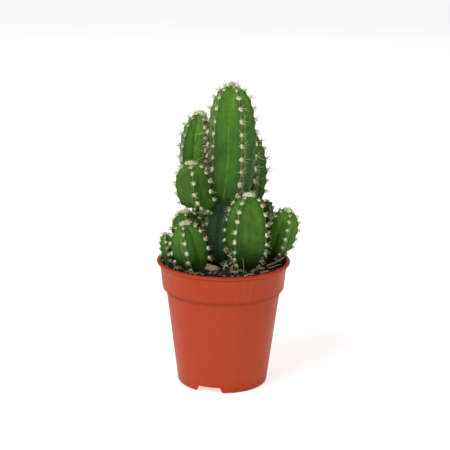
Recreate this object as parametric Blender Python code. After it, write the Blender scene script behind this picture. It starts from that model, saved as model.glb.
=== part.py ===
"""A ribbed column cactus with its offsets, growing in a plastic nursery pot.

Everything is in metres with +Z up.  Every piece is drawn round the pot's axis, with the pot's foot
on z = 0, and hangs on one empty that stands at POT_AXIS.  The plant's front faces -Y.  Angles round
a stem or the pot start at the front and grow towards +X.
"""
from dataclasses import dataclass

import bmesh
import bpy
import numpy as np
from mathutils import Matrix, Vector, noise

MM = 0.001
GAP = 0.35 * MM                    # clearance between pieces that touch

# The origin lies under the middle of the whole plant's box; the pot's axis stands beside it,
# because the leaning stem overhangs the rim on one side
POT_AXIS = (-3.1 * MM, 0.0, 0.0)

# Pot: a 10.5 cm injection-moulded nursery pot
RIM_RADIUS = 52.5 * MM
POT_HEIGHT = 99.5 * MM
WALL = 1.3 * MM
BEAD = 2.4 * MM                    # height of the rounded lip bead
COLLAR_TOP_RADIUS = 50.3 * MM
COLLAR_BOTTOM_RADIUS = 47.9 * MM
COLLAR_BOTTOM = 77.4 * MM
STEP_DROP = 3.0 * MM               # height of the sloped step under the collar
BODY_TOP_RADIUS = 44.8 * MM
BODY_FOOT_RADIUS = 35.8 * MM
FOOT_RADIUS = 34.6 * MM
FOOT_ROUND = 3.6 * MM              # height of the curve between the body and the foot
FLOOR_UNDERSIDE = 3.6 * MM
FLOOR_THICKNESS = 1.5 * MM
NOTCH_HEIGHT = 4.6 * MM
NOTCH_ANGLES = (-17.4, 102.6, 222.6)
NOTCH_SPAN = 38.0                  # degrees
NOTCH_TAPER = 0.76                 # share of that span left at a notch's top
DRAIN_HOLES = 8
DRAIN_RADIUS = 4.0 * MM
DRAIN_CIRCLE = 23.0 * MM
POT_SEGMENTS = 64

# Soil
SOIL_EDGE_HEIGHT = 92.3 * MM
SOIL_CROWN = 3.0 * MM              # how much the middle stands above the edge
SOIL_RINGS = 5
SOIL_SEGMENTS = 40
SOIL_BOTTOM = FLOOR_UNDERSIDE + FLOOR_THICKNESS + GAP

# Ribbed stems
VALLEY = 0.66                      # depth of the furrows, as a share of the crest radius
FACE_BULGE = 0.035                 # how far a rib's flank swells out
STEM_RINGS = 13
FLANK_POINTS = 2                   # points from a crest down to its furrow

COLOURS = {
    "pot_plastic": ((0.47, 0.085, 0.030), 0.42),
    "potting_soil": ((0.020, 0.014, 0.011), 0.95),
    "cactus_skin": ((0.055, 0.17, 0.035), 0.40),
    "old_cactus_skin": ((0.025, 0.075, 0.045), 0.50),
    "pebble": ((0.30, 0.29, 0.27), 0.80),
    "bark": ((0.42, 0.33, 0.22), 0.85),
    "wood_fibre": ((0.33, 0.17, 0.08), 0.80),
}


@dataclass(frozen=True)
class Stem:
    """One ribbed stem: its centre line from the buried root to the tip, and its outline."""
    name: str
    line: tuple                    # points along the centre line, millimetres
    radius: float                  # to the crest of a rib, millimetres
    ribs: int
    turn: float                    # degrees from the front to the first rib
    girth: tuple                   # (share of the length, share of the radius) along the stem
    dome_start: float              # share of the length where the rounded top begins
    dome_power: float              # 2 is an ellipse, more is blunter
    shift: tuple = (0, 0.0)        # a rib that grew out of step, and by how many degrees
    skin: str = "cactus_skin"


ROOTED = ((0.0, 0.50), (0.45, 1.0), (1.0, 1.0))
STEMS = (
    Stem("main_stem", ((-3.6, 9, 82), (-3.8, 9, 116), (0.4, 9, 143), (4.8, 9, 176), (4.7, 9, 235.5)),
         19.0, 5, 25, ((0, .68), (.30, .75), (.39, .52), (.455, .93), (.53, 1), (1, 1)), .71, 2.45,
         (3, 12.0)),
    Stem("left_rear_stem", ((-15, 31.2, 82), (-18.4, 31.4, 138), (-22.1, 31.4, 178), (-20.1, 30.8, 209.6)),
         16.6, 5, 25, ((0, .50), (.38, .58), (.60, 1), (1, 1)), .66, 2.2),
    Stem("right_rear_stem", ((20, 30.4, 82), (20.7, 30.4, 140), (21.2, 30.4, 168), (20.3, 30.4, 194)),
         12.4, 5, 12, ((0, .58), (.40, .66), (.70, 1), (1, 1)), .68, 2.3),
    Stem("left_upper_offset", ((-3, 3, 147), (-14, -2.5, 147.2), (-24.2, -8.3, 157), (-26.9, -8.5, 177.5)),
         13.7, 5, 8, ((0, .40), (.30, .70), (.53, 1), (1, 1)), .60, 2.4),
    Stem("left_middle_offset", ((-25, 12, 82), (-28.6, 11.8, 111), (-31.2, 10.8, 134.2)),
         13.1, 5, 10, ((0, .50), (.50, .95), (.65, 1), (1, 1)), .64, 2.7),
    Stem("left_front_stem", ((-20.4, -5, 82), (-22.6, -10.5, 98), (-26.2, -14, 114), (-30.7, -15, 131.5)),
         14.8, 5, -8, ((0, .58), (.22, .66), (.55, 1), (1, 1)), .58, 2.3),
    Stem("far_left_offset", ((-38.6, 3.5, 82), (-42.5, 3.2, 101), (-46.4, 3, 118.4)),
         6.6, 5, 0, ROOTED, .55, 2.4),
    Stem("right_front_stem", ((17.4, -0.5, 82), (16.8, -9.2, 104), (17.1, -13.7, 126), (19, -12, 154)),
         17.6, 4, -28, ((0, .46), (.14, .50), (.50, 1), (1, 1)), .54, 2.3),
    Stem("right_small_offset", ((31.5, 25.5, 82), (33, 25, 113), (34.3, 23.2, 141.0)),
         6.8, 4, 20, ROOTED, .65, 2.6),
    Stem("right_leaning_stem", ((36.5, 15.5, 82), (40.0, 11, 102), (45.2, 5.4, 120), (50.0, 2.2, 138.8)),
         12.2, 5, 10, ((0, .42), (.22, .48), (.55, 1), (1, 1)), .60, 2.8),
)


def clear_scene():
    """Remove everything the file starts with."""
    for scene_object in list(bpy.data.objects):
        bpy.data.objects.remove(scene_object, do_unlink=True)


def place_axis():
    """Stand the empty that carries every piece on the pot's axis."""
    axis = bpy.data.objects.new("pot_axis", None)
    axis.location = POT_AXIS
    bpy.context.scene.collection.objects.link(axis)


def material(name):
    """Return the named finish, made on first use."""
    found = bpy.data.materials.get(name)
    if found:
        return found
    colour, roughness = COLOURS[name]
    finish = bpy.data.materials.new(name)
    finish.use_nodes = True
    shader = finish.node_tree.nodes["Principled BSDF"]
    shader.inputs["Base Color"].default_value = (*colour, 1.0)
    shader.inputs["Roughness"].default_value = roughness
    shader.inputs["Metallic"].default_value = 0.0
    return finish


def add_object(name, mesh, finish=None):
    """Put a mesh into the scene as one named piece."""
    piece = bpy.data.objects.new(name, mesh)
    bpy.context.scene.collection.objects.link(piece)
    piece.parent = bpy.data.objects["pot_axis"]
    if finish:
        mesh.materials.append(material(finish))
    return piece


def finish_mesh(name, build):
    """Turn a bmesh into a mesh with its faces pointing out."""
    bmesh.ops.recalc_face_normals(build, faces=build.faces)
    mesh = bpy.data.meshes.new(name)
    build.to_mesh(mesh)
    build.free()
    return mesh


def hide_tool(tool):
    """Mark an object as a cutter that is no piece of the plant or the pot."""
    tool.hide_render = True
    tool.display_type = "WIRE"


def cut(piece, tool):
    """Subtract the tool from the piece."""
    modifier = piece.modifiers.new("cut_" + tool.name, "BOOLEAN")
    modifier.operation = "DIFFERENCE"
    modifier.solver = "EXACT"
    modifier.object = tool
    hide_tool(tool)


def loft(name, rings):
    """Join rings of points, each with the same count, into one closed mesh with flat ends."""
    build = bmesh.new()
    loops = [[build.verts.new(point) for point in ring] for ring in rings]
    for lower, upper in zip(loops, loops[1:]):
        count = len(lower)
        for i in range(count):
            j = (i + 1) % count
            build.faces.new((lower[i], lower[j], upper[j], upper[i]))
    for end in (loops[0], loops[-1]):
        build.faces.new(end)
    bmesh.ops.triangulate(build, faces=[face for face in build.faces if len(face.verts) > 4])
    return finish_mesh(name, build)


def arc(centre, radius, start, end, count):
    """Points on an arc, angles in degrees from the outward direction."""
    angles = np.radians(np.linspace(start, end, count))
    return [(centre[0] + radius * np.cos(a), centre[1] + radius * np.sin(a)) for a in angles]


# ---------------------------------------------------------------- pot

def wall_outer_radius(height):
    """Outer radius of the tapered body at a height."""
    top = COLLAR_BOTTOM - STEP_DROP
    share = (height - FOOT_ROUND) / (top - FOOT_ROUND)
    return BODY_FOOT_RADIUS + (BODY_TOP_RADIUS - BODY_FOOT_RADIUS) * share


def collar_inner_radius(height):
    """Inner radius of the collar at a height."""
    share = (height - COLLAR_BOTTOM) / (POT_HEIGHT - COLLAR_BOTTOM)
    return COLLAR_BOTTOM_RADIUS + (COLLAR_TOP_RADIUS - COLLAR_BOTTOM_RADIUS) * share - WALL


def make_pot():
    """Turn the pot's wall, floor and lip, then cut the foot notches and the drain holes."""
    bead_centre = (RIM_RADIUS - BEAD / 2, POT_HEIGHT - BEAD / 2)
    floor_top = FLOOR_UNDERSIDE + FLOOR_THICKNESS
    step_bottom = COLLAR_BOTTOM - STEP_DROP
    outline = [(FOOT_RADIUS - WALL, FLOOR_UNDERSIDE), (FOOT_RADIUS - WALL, 0.0), (FOOT_RADIUS, 0.0)]
    outline += [(FOOT_RADIUS + (BODY_FOOT_RADIUS - FOOT_RADIUS) * np.sin(a), FOOT_ROUND * (1 - np.cos(a)))
                for a in np.radians((30, 60, 90))]
    outline += [(BODY_TOP_RADIUS, step_bottom), (COLLAR_BOTTOM_RADIUS - 0.6 * MM, COLLAR_BOTTOM - 0.9 * MM),
                (COLLAR_BOTTOM_RADIUS, COLLAR_BOTTOM), (COLLAR_TOP_RADIUS, POT_HEIGHT - BEAD)]
    outline += arc(bead_centre, BEAD / 2, -80, 90, 6)
    outline += [(collar_inner_radius(POT_HEIGHT) + 0.5 * MM, POT_HEIGHT),
                (collar_inner_radius(POT_HEIGHT), POT_HEIGHT - 0.5 * MM),
                (collar_inner_radius(COLLAR_BOTTOM + WALL), COLLAR_BOTTOM + WALL),
                (BODY_TOP_RADIUS - WALL, step_bottom + WALL),
                (wall_outer_radius(floor_top) - WALL, floor_top)]
    angles = 2 * np.pi * np.arange(POT_SEGMENTS) / POT_SEGMENTS
    rings = [[(radius * np.cos(a), radius * np.sin(a), height) for a in angles] for radius, height in outline]
    pot = add_object("nursery_pot", loft("nursery_pot", rings), "pot_plastic")
    for index, angle in enumerate(NOTCH_ANGLES):
        cut(pot, notch_cutter(f"notch_cutter_{index}", angle))
    cut(pot, drain_cutter())
    return pot


def notch_cutter(name, angle):
    """A block that opens the foot ring over NOTCH_SPAN degrees, narrower at its top."""
    inner, outer, below = FOOT_RADIUS - 2.2 * WALL, FOOT_RADIUS + 4 * WALL, -2 * MM
    rings = []
    for height, share in ((below, 1.06), (0.45 * NOTCH_HEIGHT, 0.90), (NOTCH_HEIGHT, NOTCH_TAPER)):
        sweep = np.radians(angle + NOTCH_SPAN * share * np.linspace(-0.5, 0.5, 5))
        ring = [(outer * np.sin(a), -outer * np.cos(a), height) for a in sweep]
        ring += [(inner * np.sin(a), -inner * np.cos(a), height) for a in sweep[::-1]]
        rings.append(ring)
    return add_object(name, loft(name, rings))


def drain_cutter():
    """One tool of eight pins, for the ring of drain holes in the floor."""
    build = bmesh.new()
    for index in range(DRAIN_HOLES):
        angle = 2 * np.pi * (index + 0.5) / DRAIN_HOLES
        place = Vector((DRAIN_CIRCLE * np.sin(angle), -DRAIN_CIRCLE * np.cos(angle), FLOOR_UNDERSIDE))
        bmesh.ops.create_cone(build, cap_ends=True, segments=12, radius1=DRAIN_RADIUS, radius2=DRAIN_RADIUS,
                              depth=12 * MM, matrix=Matrix.Translation(place))
    return add_object("drain_cutter", finish_mesh("drain_cutter", build))


# ---------------------------------------------------------------- stems

def centre_line(points, count=40):
    """A Catmull-Rom curve through the points: its positions, directions and shares of the length."""
    given = np.array(points, dtype=float) * MM
    padded = np.vstack([2 * given[0] - given[1], given, 2 * given[-1] - given[-2]])
    pieces = []
    t = np.linspace(0, 1, count, endpoint=False)[:, None]
    for a, b, c, d in zip(padded, padded[1:], padded[2:], padded[3:]):
        pieces.append(0.5 * (2 * b + (c - a) * t + (2 * a - 5 * b + 4 * c - d) * t**2
                             + (3 * b - a - 3 * c + d) * t**3))
    line = np.vstack(pieces + [given[-1:]])
    length = np.concatenate([[0], np.cumsum(np.linalg.norm(np.diff(line, axis=0), axis=1))])
    return line, np.gradient(line, axis=0), length / length[-1]


def girth_at(share, knots):
    """Share of the full radius along the stem, eased smoothly from knot to knot."""
    places, values = np.array(knots, dtype=float).T
    span = np.clip(np.searchsorted(places, share, side="right") - 1, 0, len(places) - 2)
    t = np.clip((share - places[span]) / (places[span + 1] - places[span]), 0, 1)
    t = t * t * (3 - 2 * t)
    return values[span] * (1 - t) + values[span + 1] * t


def star_section(ribs, turn, shift):
    """Angles and relative radii of one cross-section, from crest to furrow to crest.

    The shifted rib takes its two flanks along: the shift fades as a cosine towards its neighbours.
    """
    half = np.pi / ribs
    crest = np.array([1.0, 0.0])
    furrow = VALLEY * np.array([np.cos(half), np.sin(half)])
    s = np.arange(FLANK_POINTS + 1)[:, None] / FLANK_POINTS
    outward = np.array([furrow[1] - crest[1], crest[0] - furrow[0]])
    outward /= np.linalg.norm(outward)
    flank = crest + (furrow - crest) * s + outward * FACE_BULGE * 4 * s * (1 - s)
    angle, radius = np.arctan2(flank[:, 1], flank[:, 0]), np.hypot(flank[:, 0], flank[:, 1])
    angles, radii = [], []
    for rib in range(ribs):
        start = np.radians(turn) + 2 * half * rib
        angles += [start + angle[:-1], start + 2 * half - angle[:0:-1]]
        radii += [radius[:-1], radius[:0:-1]]
    angles = np.concatenate(angles)
    off = angles - np.radians(turn) - 2 * half * shift[0]
    off = (off + np.pi) % (2 * np.pi) - np.pi
    near = 0.5 * (1 + np.cos(np.pi * np.clip(off / (2 * half), -1, 1)))
    return angles + np.radians(shift[1]) * near, np.concatenate(radii)


def stem_mesh(stem, grow=0.0):
    """Sweep the star section along the stem's centre line; grow widens it for use as a cutter."""
    line, direction, share = centre_line(stem.line)
    steps = np.linspace(0, 1, STEM_RINGS)
    dome = stem.dome_start
    rise = np.clip((steps - dome) / (1 - dome), 0, 1)
    # rings crowd towards the tip, where the outline bends most
    steps = np.where(steps < dome, steps, dome + (1 - dome) * np.sin(rise * np.pi / 2))
    steps[-1] = 0.995
    centre = np.stack([np.interp(steps, share, line[:, k]) for k in range(3)], axis=-1)
    along = np.stack([np.interp(steps, share, direction[:, k]) for k in range(3)], axis=-1)
    along /= np.linalg.norm(along, axis=1)[:, None]
    side = np.array([1.0, 0, 0]) - along[:, :1] * along
    side /= np.linalg.norm(side, axis=1)[:, None]
    front = np.cross(side, along)
    rise = np.clip((steps - dome) / (1 - dome), 0, 1)
    outline = stem.radius * MM * girth_at(steps, stem.girth)
    outline *= (1 - rise**stem.dome_power) ** (1 / stem.dome_power)
    angles, radii = star_section(stem.ribs, stem.turn, stem.shift)
    if grow:
        centre[0] -= along[0] * 2 * grow
        centre[-1] += along[-1] * grow
    reach = outline[:, None] * radii[None, :] + grow * 1.25
    around = (np.sin(angles)[None, :, None] * side[:, None, :]
              + np.cos(angles)[None, :, None] * front[:, None, :])
    return loft(stem.name, centre[:, None, :] + reach[..., None] * around)


def make_stems(soil):
    """Build the stems, root all but one in the soil, and seat that one on the main stem."""
    pieces = {}
    for stem in STEMS:
        pieces[stem.name] = add_object(stem.name, stem_mesh(stem), stem.skin)
        socket = add_object(stem.name + "_cutter", stem_mesh(stem, GAP))
        hide_tool(socket)
        if stem.name == "left_upper_offset":
            continue
        cut(soil, socket)
    cut(pieces["left_upper_offset"], bpy.data.objects["main_stem_cutter"])
    return pieces


# ---------------------------------------------------------------- soil and what lies on it

def soil_height(x, y):
    """Height of the soil: a low crown, with gentle lumps."""
    radius = np.hypot(x, y) / collar_inner_radius(SOIL_EDGE_HEIGHT)
    lumps = noise.noise(Vector((x, y, 0)) * 90) * 0.7 * MM
    return SOIL_EDGE_HEIGHT + SOIL_CROWN * (1 - radius * radius) + lumps * (1 - radius**4)


def make_soil():
    """The root ball: the inside of the pot, with a lumpy top."""
    step_bottom = COLLAR_BOTTOM - STEP_DROP
    sides = [(wall_outer_radius(SOIL_BOTTOM) - WALL - GAP, SOIL_BOTTOM),
             (BODY_TOP_RADIUS - WALL - GAP, step_bottom + WALL + GAP),
             (collar_inner_radius(COLLAR_BOTTOM + WALL) - GAP, COLLAR_BOTTOM + WALL + GAP),
             (collar_inner_radius(SOIL_EDGE_HEIGHT) - GAP, SOIL_EDGE_HEIGHT)]
    angles = 2 * np.pi * np.arange(SOIL_SEGMENTS) / SOIL_SEGMENTS
    rings = [[(r * np.cos(a), r * np.sin(a), z) for a in angles] for r, z in sides]
    edge = sides[-1][0]
    for ring in range(SOIL_RINGS, 0, -1):
        reach = edge * (ring - 0.4) / SOIL_RINGS
        rings.append([(reach * np.cos(a), reach * np.sin(a),
                       soil_height(reach * np.cos(a), reach * np.sin(a))) for a in angles])
    return add_object("potting_soil", loft("potting_soil", rings), "potting_soil")


def make_stone(name, place, size, turn, seed, finish, soil):
    """A rough rounded lump, bedded in the soil."""
    def lump(grow):
        build = bmesh.new()
        bmesh.ops.create_icosphere(build, subdivisions=2, radius=1.0)
        for vert in build.verts:
            rough = 1 + 0.22 * noise.noise(vert.co * 1.7 + Vector((seed, 0, 0)))
            vert.co = Vector(c * rough * (s * MM / 2 + grow) for c, s in zip(vert.co, size))
        turned_to = Matrix.Rotation(np.radians(turn), 4, "Z")
        x, y, sink = (v * MM for v in place)
        seat = Matrix.Translation((x, y, soil_height(x, y) + sink))
        bmesh.ops.transform(build, matrix=seat @ turned_to, verts=build.verts)
        return finish_mesh(name, build)
    piece = add_object(name, lump(0.0), finish)
    cut(soil, add_object(name + "_cutter", lump(GAP)))
    return piece


def make_twig(name, points, radius, finish, soil):
    """A thin woody strand that lies in a groove of the soil; points are (x, y, lift) in millimetres."""
    line = [(x, y, soil_height(x * MM, y * MM) / MM + lift) for x, y, lift in points]

    def strand(grow):
        path, direction, share = centre_line(line, 3)
        direction /= np.linalg.norm(direction, axis=1)[:, None]
        level = np.cross(direction, (0.0, 0.0, 1.0))
        level /= np.linalg.norm(level, axis=1)[:, None]
        upward = np.cross(level, direction)
        path[0] -= direction[0] * grow
        path[-1] += direction[-1] * grow
        angles = 2 * np.pi * np.arange(8) / 8
        reach = radius * MM * (1 - 0.35 * share) + grow
        ring = (np.cos(angles)[None, :, None] * level[:, None, :]
                + np.sin(angles)[None, :, None] * upward[:, None, :])
        return loft(name, path[:, None, :] + reach[:, None, None] * ring)
    piece = add_object(name, strand(0.0), finish)
    cut(soil, add_object(name + "_cutter", strand(GAP)))
    return piece


def make_top_dressing(soil):
    """The stones, bark and twigs that lie on the soil."""
    make_stone("grey_pebble", (-35.2, -10, 0.6), (5.6, 5.0, 4.0), 20, 3.0, "pebble", soil)
    make_stone("bark_chip", (-8.4, -18.5, 1.2), (11.5, 7.0, 6.0), -20, 9.0, "bark", soil)
    make_stone("pale_grit", (23.5, -17.5, 0.5), (3.6, 3.0, 2.6), 10, 14.0, "pebble", soil)
    make_twig("long_twig", ((26.0, -10.0, 0.5), (32.0, -6.4, 0.9), (40.0, -1.0, 3.2), (47.4, 5.4, 7.2)),
              0.8, "wood_fibre", soil)
    make_twig("wood_sliver", ((-0.5, -14.0, 0.4), (3.5, -13.2, 0.7), (7.5, -15.4, 0.4)), 0.8, "wood_fibre", soil)


def main():
    """Build the pot, its soil, the plant and the litter on the soil."""
    clear_scene()
    place_axis()
    make_pot()
    soil = make_soil()
    make_stems(soil)
    make_top_dressing(soil)


main()
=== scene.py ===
"""Looks of a potted column cactus: ribbed stems with wool and spines, loose soil and a plastic pot.

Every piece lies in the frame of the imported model, which is loaded first.  Points are in metres,
and the sizes in the classes are in millimetres.  Angles round a stem or the pot start at the
front, which faces -Y, and grow towards +X.
"""

import logging
from dataclasses import dataclass, field
from enum import Enum

import bpy
import numpy as np
from mathutils import Matrix, Vector


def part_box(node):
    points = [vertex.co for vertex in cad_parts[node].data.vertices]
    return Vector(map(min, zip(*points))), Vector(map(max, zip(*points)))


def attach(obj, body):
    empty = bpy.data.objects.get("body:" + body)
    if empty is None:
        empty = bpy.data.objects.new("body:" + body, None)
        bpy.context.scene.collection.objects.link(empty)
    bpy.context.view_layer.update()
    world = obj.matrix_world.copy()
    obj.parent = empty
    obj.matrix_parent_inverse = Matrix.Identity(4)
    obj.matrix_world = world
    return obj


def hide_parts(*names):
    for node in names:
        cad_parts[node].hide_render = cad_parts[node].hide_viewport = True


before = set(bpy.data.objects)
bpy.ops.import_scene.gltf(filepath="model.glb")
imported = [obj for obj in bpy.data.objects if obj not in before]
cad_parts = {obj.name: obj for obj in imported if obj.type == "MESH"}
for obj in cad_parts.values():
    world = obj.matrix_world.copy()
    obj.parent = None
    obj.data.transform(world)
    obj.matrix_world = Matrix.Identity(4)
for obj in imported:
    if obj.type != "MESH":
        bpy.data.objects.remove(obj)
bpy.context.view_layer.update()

MM = 0.001
BODY = "root"
TWO_PI = 2 * np.pi
Array = np.ndarray
Socket = bpy.types.NodeSocket
Material = bpy.types.Material
Point = tuple[float, float, float]
Colour = tuple[float, float, float]
Knots = tuple[tuple[float, float], ...]
LOG = logging.getLogger("cactus")

POT_LOW, POT_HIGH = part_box("nursery_pot")
POT_AXIS = np.array([(POT_LOW.x + POT_HIGH.x) / 2, (POT_LOW.y + POT_HIGH.y) / 2, 0.0])
RIM_HEIGHT = POT_HIGH.z / MM
RIM_RADIUS = (POT_HIGH.x - POT_LOW.x) / 2 / MM


# ------------------------------------------------------------------ shapes

def unit(vectors: Array) -> Array:
    """Scale each row vector to length one."""
    return vectors / np.maximum(np.linalg.norm(vectors, axis=-1, keepdims=True), 1e-12)


def smooth(value: Array) -> Array:
    """Ease from 0 to 1 with flat ends: 3t^2 - 2t^3, after clipping to that span."""
    t = np.clip(value, 0.0, 1.0)
    return t * t * (3 - 2 * t)


def stacked(*parts: Array) -> Array:
    """Stack arrays of matching shapes along a new last axis."""
    return np.stack(np.broadcast_arrays(*parts), -1)


def polar(radius: Array, angle: Array, height: Array) -> Array:
    """Points (r sin a, -r cos a, z) about the pot's axis."""
    return stacked(radius * np.sin(angle), -radius * np.cos(angle), height)


def spokes(turn: Array, first: Array, second: Array) -> Array:
    """Directions cos t first + sin t second."""
    return np.cos(turn)[..., None] * first + np.sin(turn)[..., None] * second


def disc(rng: np.random.Generator, shape: object) -> tuple[Array, Array]:
    """Random angles, and distances from a disc's middle that spread evenly over it."""
    return rng.uniform(0, TWO_PI, shape), np.sqrt(rng.uniform(0, 1, shape))


def layered_noise(points: Array, seed: int, layers: int = 4) -> Array:
    """Sum of smooth value noise at doubling frequency and halving height, in about -1..1.

    Each corner of the unit lattice gets a hashed value, and the eight around a point are blended
    with the smooth ease along each axis.

    Args:
        points: positions in lattice units of the first layer, last axis x, y, z.
        seed: picks another pattern.
        layers: how many noises are added.

    Returns:
        One value for each point.
    """
    total = np.zeros(points.shape[:-1])
    for layer in range(layers):
        here = points * 2.0**layer
        cell = np.floor(here).astype(np.int64)
        part = smooth(here - cell)
        for corner in range(8):
            step = np.array([corner & 1, corner >> 1 & 1, corner >> 2 & 1])
            key = (cell + step) * np.array([73856093, 19349663, 83492791])
            mixed = key[..., 0] ^ key[..., 1] ^ key[..., 2] ^ ((seed + layer) * 2654435)
            mixed = (mixed ^ (mixed >> 13)) * 1274126177 & 0x7FFFFFFF
            weight = np.prod(np.where(step, part, 1 - part), axis=-1)
            total += weight * ((mixed >> 7) % 20011 / 10005.0 - 1.0) * 0.5**layer
    return total / 1.9


@dataclass
class Surface:
    """Vertices, faces and named vertex values of one mesh, gathered before it is made."""
    points: Array
    triangles: Array
    quads: Array
    values: dict[str, Array] = field(default_factory=dict)

    @staticmethod
    def joined(parts: list["Surface"]) -> "Surface":
        """Put several surfaces into one, keeping the values that all of them have."""
        starts = np.cumsum([0] + [len(part.points) for part in parts])
        shared = set.intersection(*(set(part.values) for part in parts))
        return Surface(np.concatenate([part.points for part in parts]),
                       np.concatenate([part.triangles + start for part, start in zip(parts, starts)]),
                       np.concatenate([part.quads + start for part, start in zip(parts, starts)]),
                       {name: np.concatenate([part.values[name] for part in parts])
                        for name in sorted(shared)})

    def make(self, name: str, finish: Material, slot: str, *replaced: str) -> bpy.types.Object:
        """Make the scene's object, dress it and let it ride on the one body.

        The points are measured from the pot's axis, and move to the model's frame here.

        Args:
            name: the piece's name.
            finish: its material.
            slot: not used; it names the record's material slot that the piece belongs to.
            replaced: CAD nodes that it stands for.

        Returns:
            The new object.
        """
        mesh = bpy.data.meshes.new(name)
        mesh.vertices.add(len(self.points))
        mesh.vertices.foreach_set("co", (self.points + POT_AXIS).astype(np.float32).ravel())
        corners = np.concatenate([self.triangles.ravel(), self.quads.ravel()])
        sizes = np.repeat([3, 4], [len(self.triangles), len(self.quads)])
        mesh.loops.add(len(corners))
        mesh.loops.foreach_set("vertex_index", corners.astype(np.int32))
        mesh.polygons.add(len(sizes))
        mesh.polygons.foreach_set("loop_start", (np.cumsum(sizes) - sizes).astype(np.int32))
        mesh.update(calc_edges=True)
        mesh.validate()
        mesh.shade_smooth()
        for value_name, value in self.values.items():
            layer = mesh.attributes.new(value_name, "FLOAT", "POINT")
            layer.data.foreach_set("value", np.ascontiguousarray(value, np.float32))
        mesh.materials.append(finish)
        piece = bpy.data.objects.new(name, mesh)
        bpy.context.scene.collection.objects.link(piece)
        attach(piece, BODY)
        if replaced:
            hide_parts(*replaced)
        LOG.info("%s: %d faces", name, len(sizes))
        return piece


def tube_faces(rings: int, columns: int) -> tuple[Array, Array]:
    """Faces of rings of points joined into a tube, closed by two poles that follow the rings.

    Args:
        rings: number of rings, stacked in order.
        columns: points in each ring, running counterclockwise seen from the end of the stack.

    Returns:
        Triangles at the poles and quads between the rings.
    """
    ring = np.arange(rings - 1)[:, None] * columns
    here = np.arange(columns)
    after = (here + 1) % columns
    quads = np.stack([ring + here, ring + after, ring + columns + after, ring + columns + here], -1)
    pole, last = np.full(columns, rings * columns), (rings - 1) * columns
    triangles = np.concatenate([np.stack([after, here, pole], -1),
                                np.stack([last + here, last + after, pole + 1], -1)])
    return triangles, quads.reshape(-1, 4)


def copies(points: Array, rings: int, columns: int, tone: Array, along: Array) -> Surface:
    """Many closed tubes with the same faces as one surface.

    Args:
        points: tubes x points x 3.
        rings: rings in each tube.
        columns: points in each ring.
        tone: one value for each tube, kept as "tone".
        along: one value for each point of a tube, kept as "along".

    Returns:
        The surface.
    """
    count, size = points.shape[:2]
    shift = np.arange(count)[:, None, None] * size
    triangles, quads = tube_faces(rings, columns)
    return Surface(points.reshape(-1, 3), (triangles + shift).reshape(-1, 3), (quads + shift).reshape(-1, 4),
                   {"tone": np.repeat(tone, size), "along": np.tile(along, count)})


def tubes(centres: Array, radii: Array, columns: int, tone: Array) -> Surface:
    """Many thin closed strands at once, each a ring of columns swept along its own line.

    The ring stands square to the line, on two directions made from the line's heading and
    whichever world axis lies least along it.

    Args:
        centres: strands x stations x 3, the lines.
        radii: strands x stations, the thickness at each station.
        columns: sides of a strand.
        tone: one value for each strand.

    Returns:
        The strands, with the values "tone" and "along" (0 at the root, 1 at the tip).
    """
    count, stations = radii.shape
    heading = unit(np.gradient(centres, axis=1))
    least = np.eye(3)[np.argmin(np.abs(heading[:, 0]), axis=1)][:, None, :]
    first = unit(np.cross(heading, least))
    ring = spokes(TWO_PI * np.arange(columns) / columns, first[:, :, None],
                  np.cross(heading, first)[:, :, None])
    body = centres[:, :, None] + radii[:, :, None, None] * ring
    points = np.concatenate([body.reshape(count, -1, 3), centres[:, :1], centres[:, -1:]], axis=1)
    along = np.append(np.repeat(np.linspace(0, 1, stations), columns), [0.0, 1.0])
    return copies(points, stations, columns, tone, along)


def spikes(roots: Array, reach: Array, thick: Array, tone: Array, sag: Array) -> Surface:
    """Many tapered three-sided spikes on the lines root + reach t + sag t^2.

    Args:
        roots: where the spikes start.
        reach: vectors from root to tip before the bend.
        thick: radius at the root of each spike.
        tone: one value for each spike.
        sag: how far each tip is pushed aside.

    Returns:
        The spikes as closed three-sided cones.
    """
    roots, reach, sag = (part.reshape(-1, 1, 3) for part in (roots, reach, sag))
    t = np.array([0.0, 0.5, 0.97])[:, None]
    return tubes(roots + reach * t + sag * t**2, thick.reshape(-1, 1) * np.array([1.0, 0.72, 0.14]), 3,
                 tone.ravel())


def globe(rings: int, columns: int) -> Array:
    """Points of a ball of radius one: rings from the bottom up, then its two poles."""
    tilt = np.pi * (np.arange(rings) + 1)[:, None] / (rings + 1)
    turn = TWO_PI * np.arange(columns) / columns
    body = stacked(np.sin(tilt) * np.cos(turn), np.sin(tilt) * np.sin(turn), -np.cos(tilt))
    return np.vstack([body.reshape(-1, 3), [[0, 0, -1], [0, 0, 1]]])


def lumps(centres: Array, sizes: Array, axes: Array, seed: int, tone: Array, rough: float,
          rings: int, columns: int) -> Surface:
    """Many rough closed lumps: globes with random radii, stretched along their own three axes.

    Args:
        centres: middle of each lump.
        sizes: lumps x 3, half its extent along each axis.
        axes: lumps x 3 x 3, its axes as rows.
        seed: picks the random shares.
        tone: one value for each lump.
        rough: the largest random share of the radius.
        rings: rings between the poles.
        columns: points round each ring.

    Returns:
        The lumps, with the values "tone" and "along" (height on the lump, 0 to 1).
    """
    ball = globe(rings, columns)
    swell = 1 + rough * np.random.default_rng(seed).uniform(-1, 1, (len(centres), len(ball), 1))
    points = centres[:, None] + np.einsum("npk,nkj->npj", ball * swell * sizes[:, None], axes)
    return copies(points, rings, columns, tone, (ball[:, 2] + 1) / 2)


def random_axes(rng: np.random.Generator, count: int) -> Array:
    """Random right-handed axis sets as rows, the third pointing up."""
    first = rng.normal(size=(count, 3))
    third = unit(np.cross(first, rng.normal(size=(count, 3))))
    third *= np.where(third[:, 2:] < 0, -1, 1)
    first = unit(np.cross(third, unit(first)))
    return np.stack([first, np.cross(third, first), third], axis=1)


# ------------------------------------------------------------------ shader nodes

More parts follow.
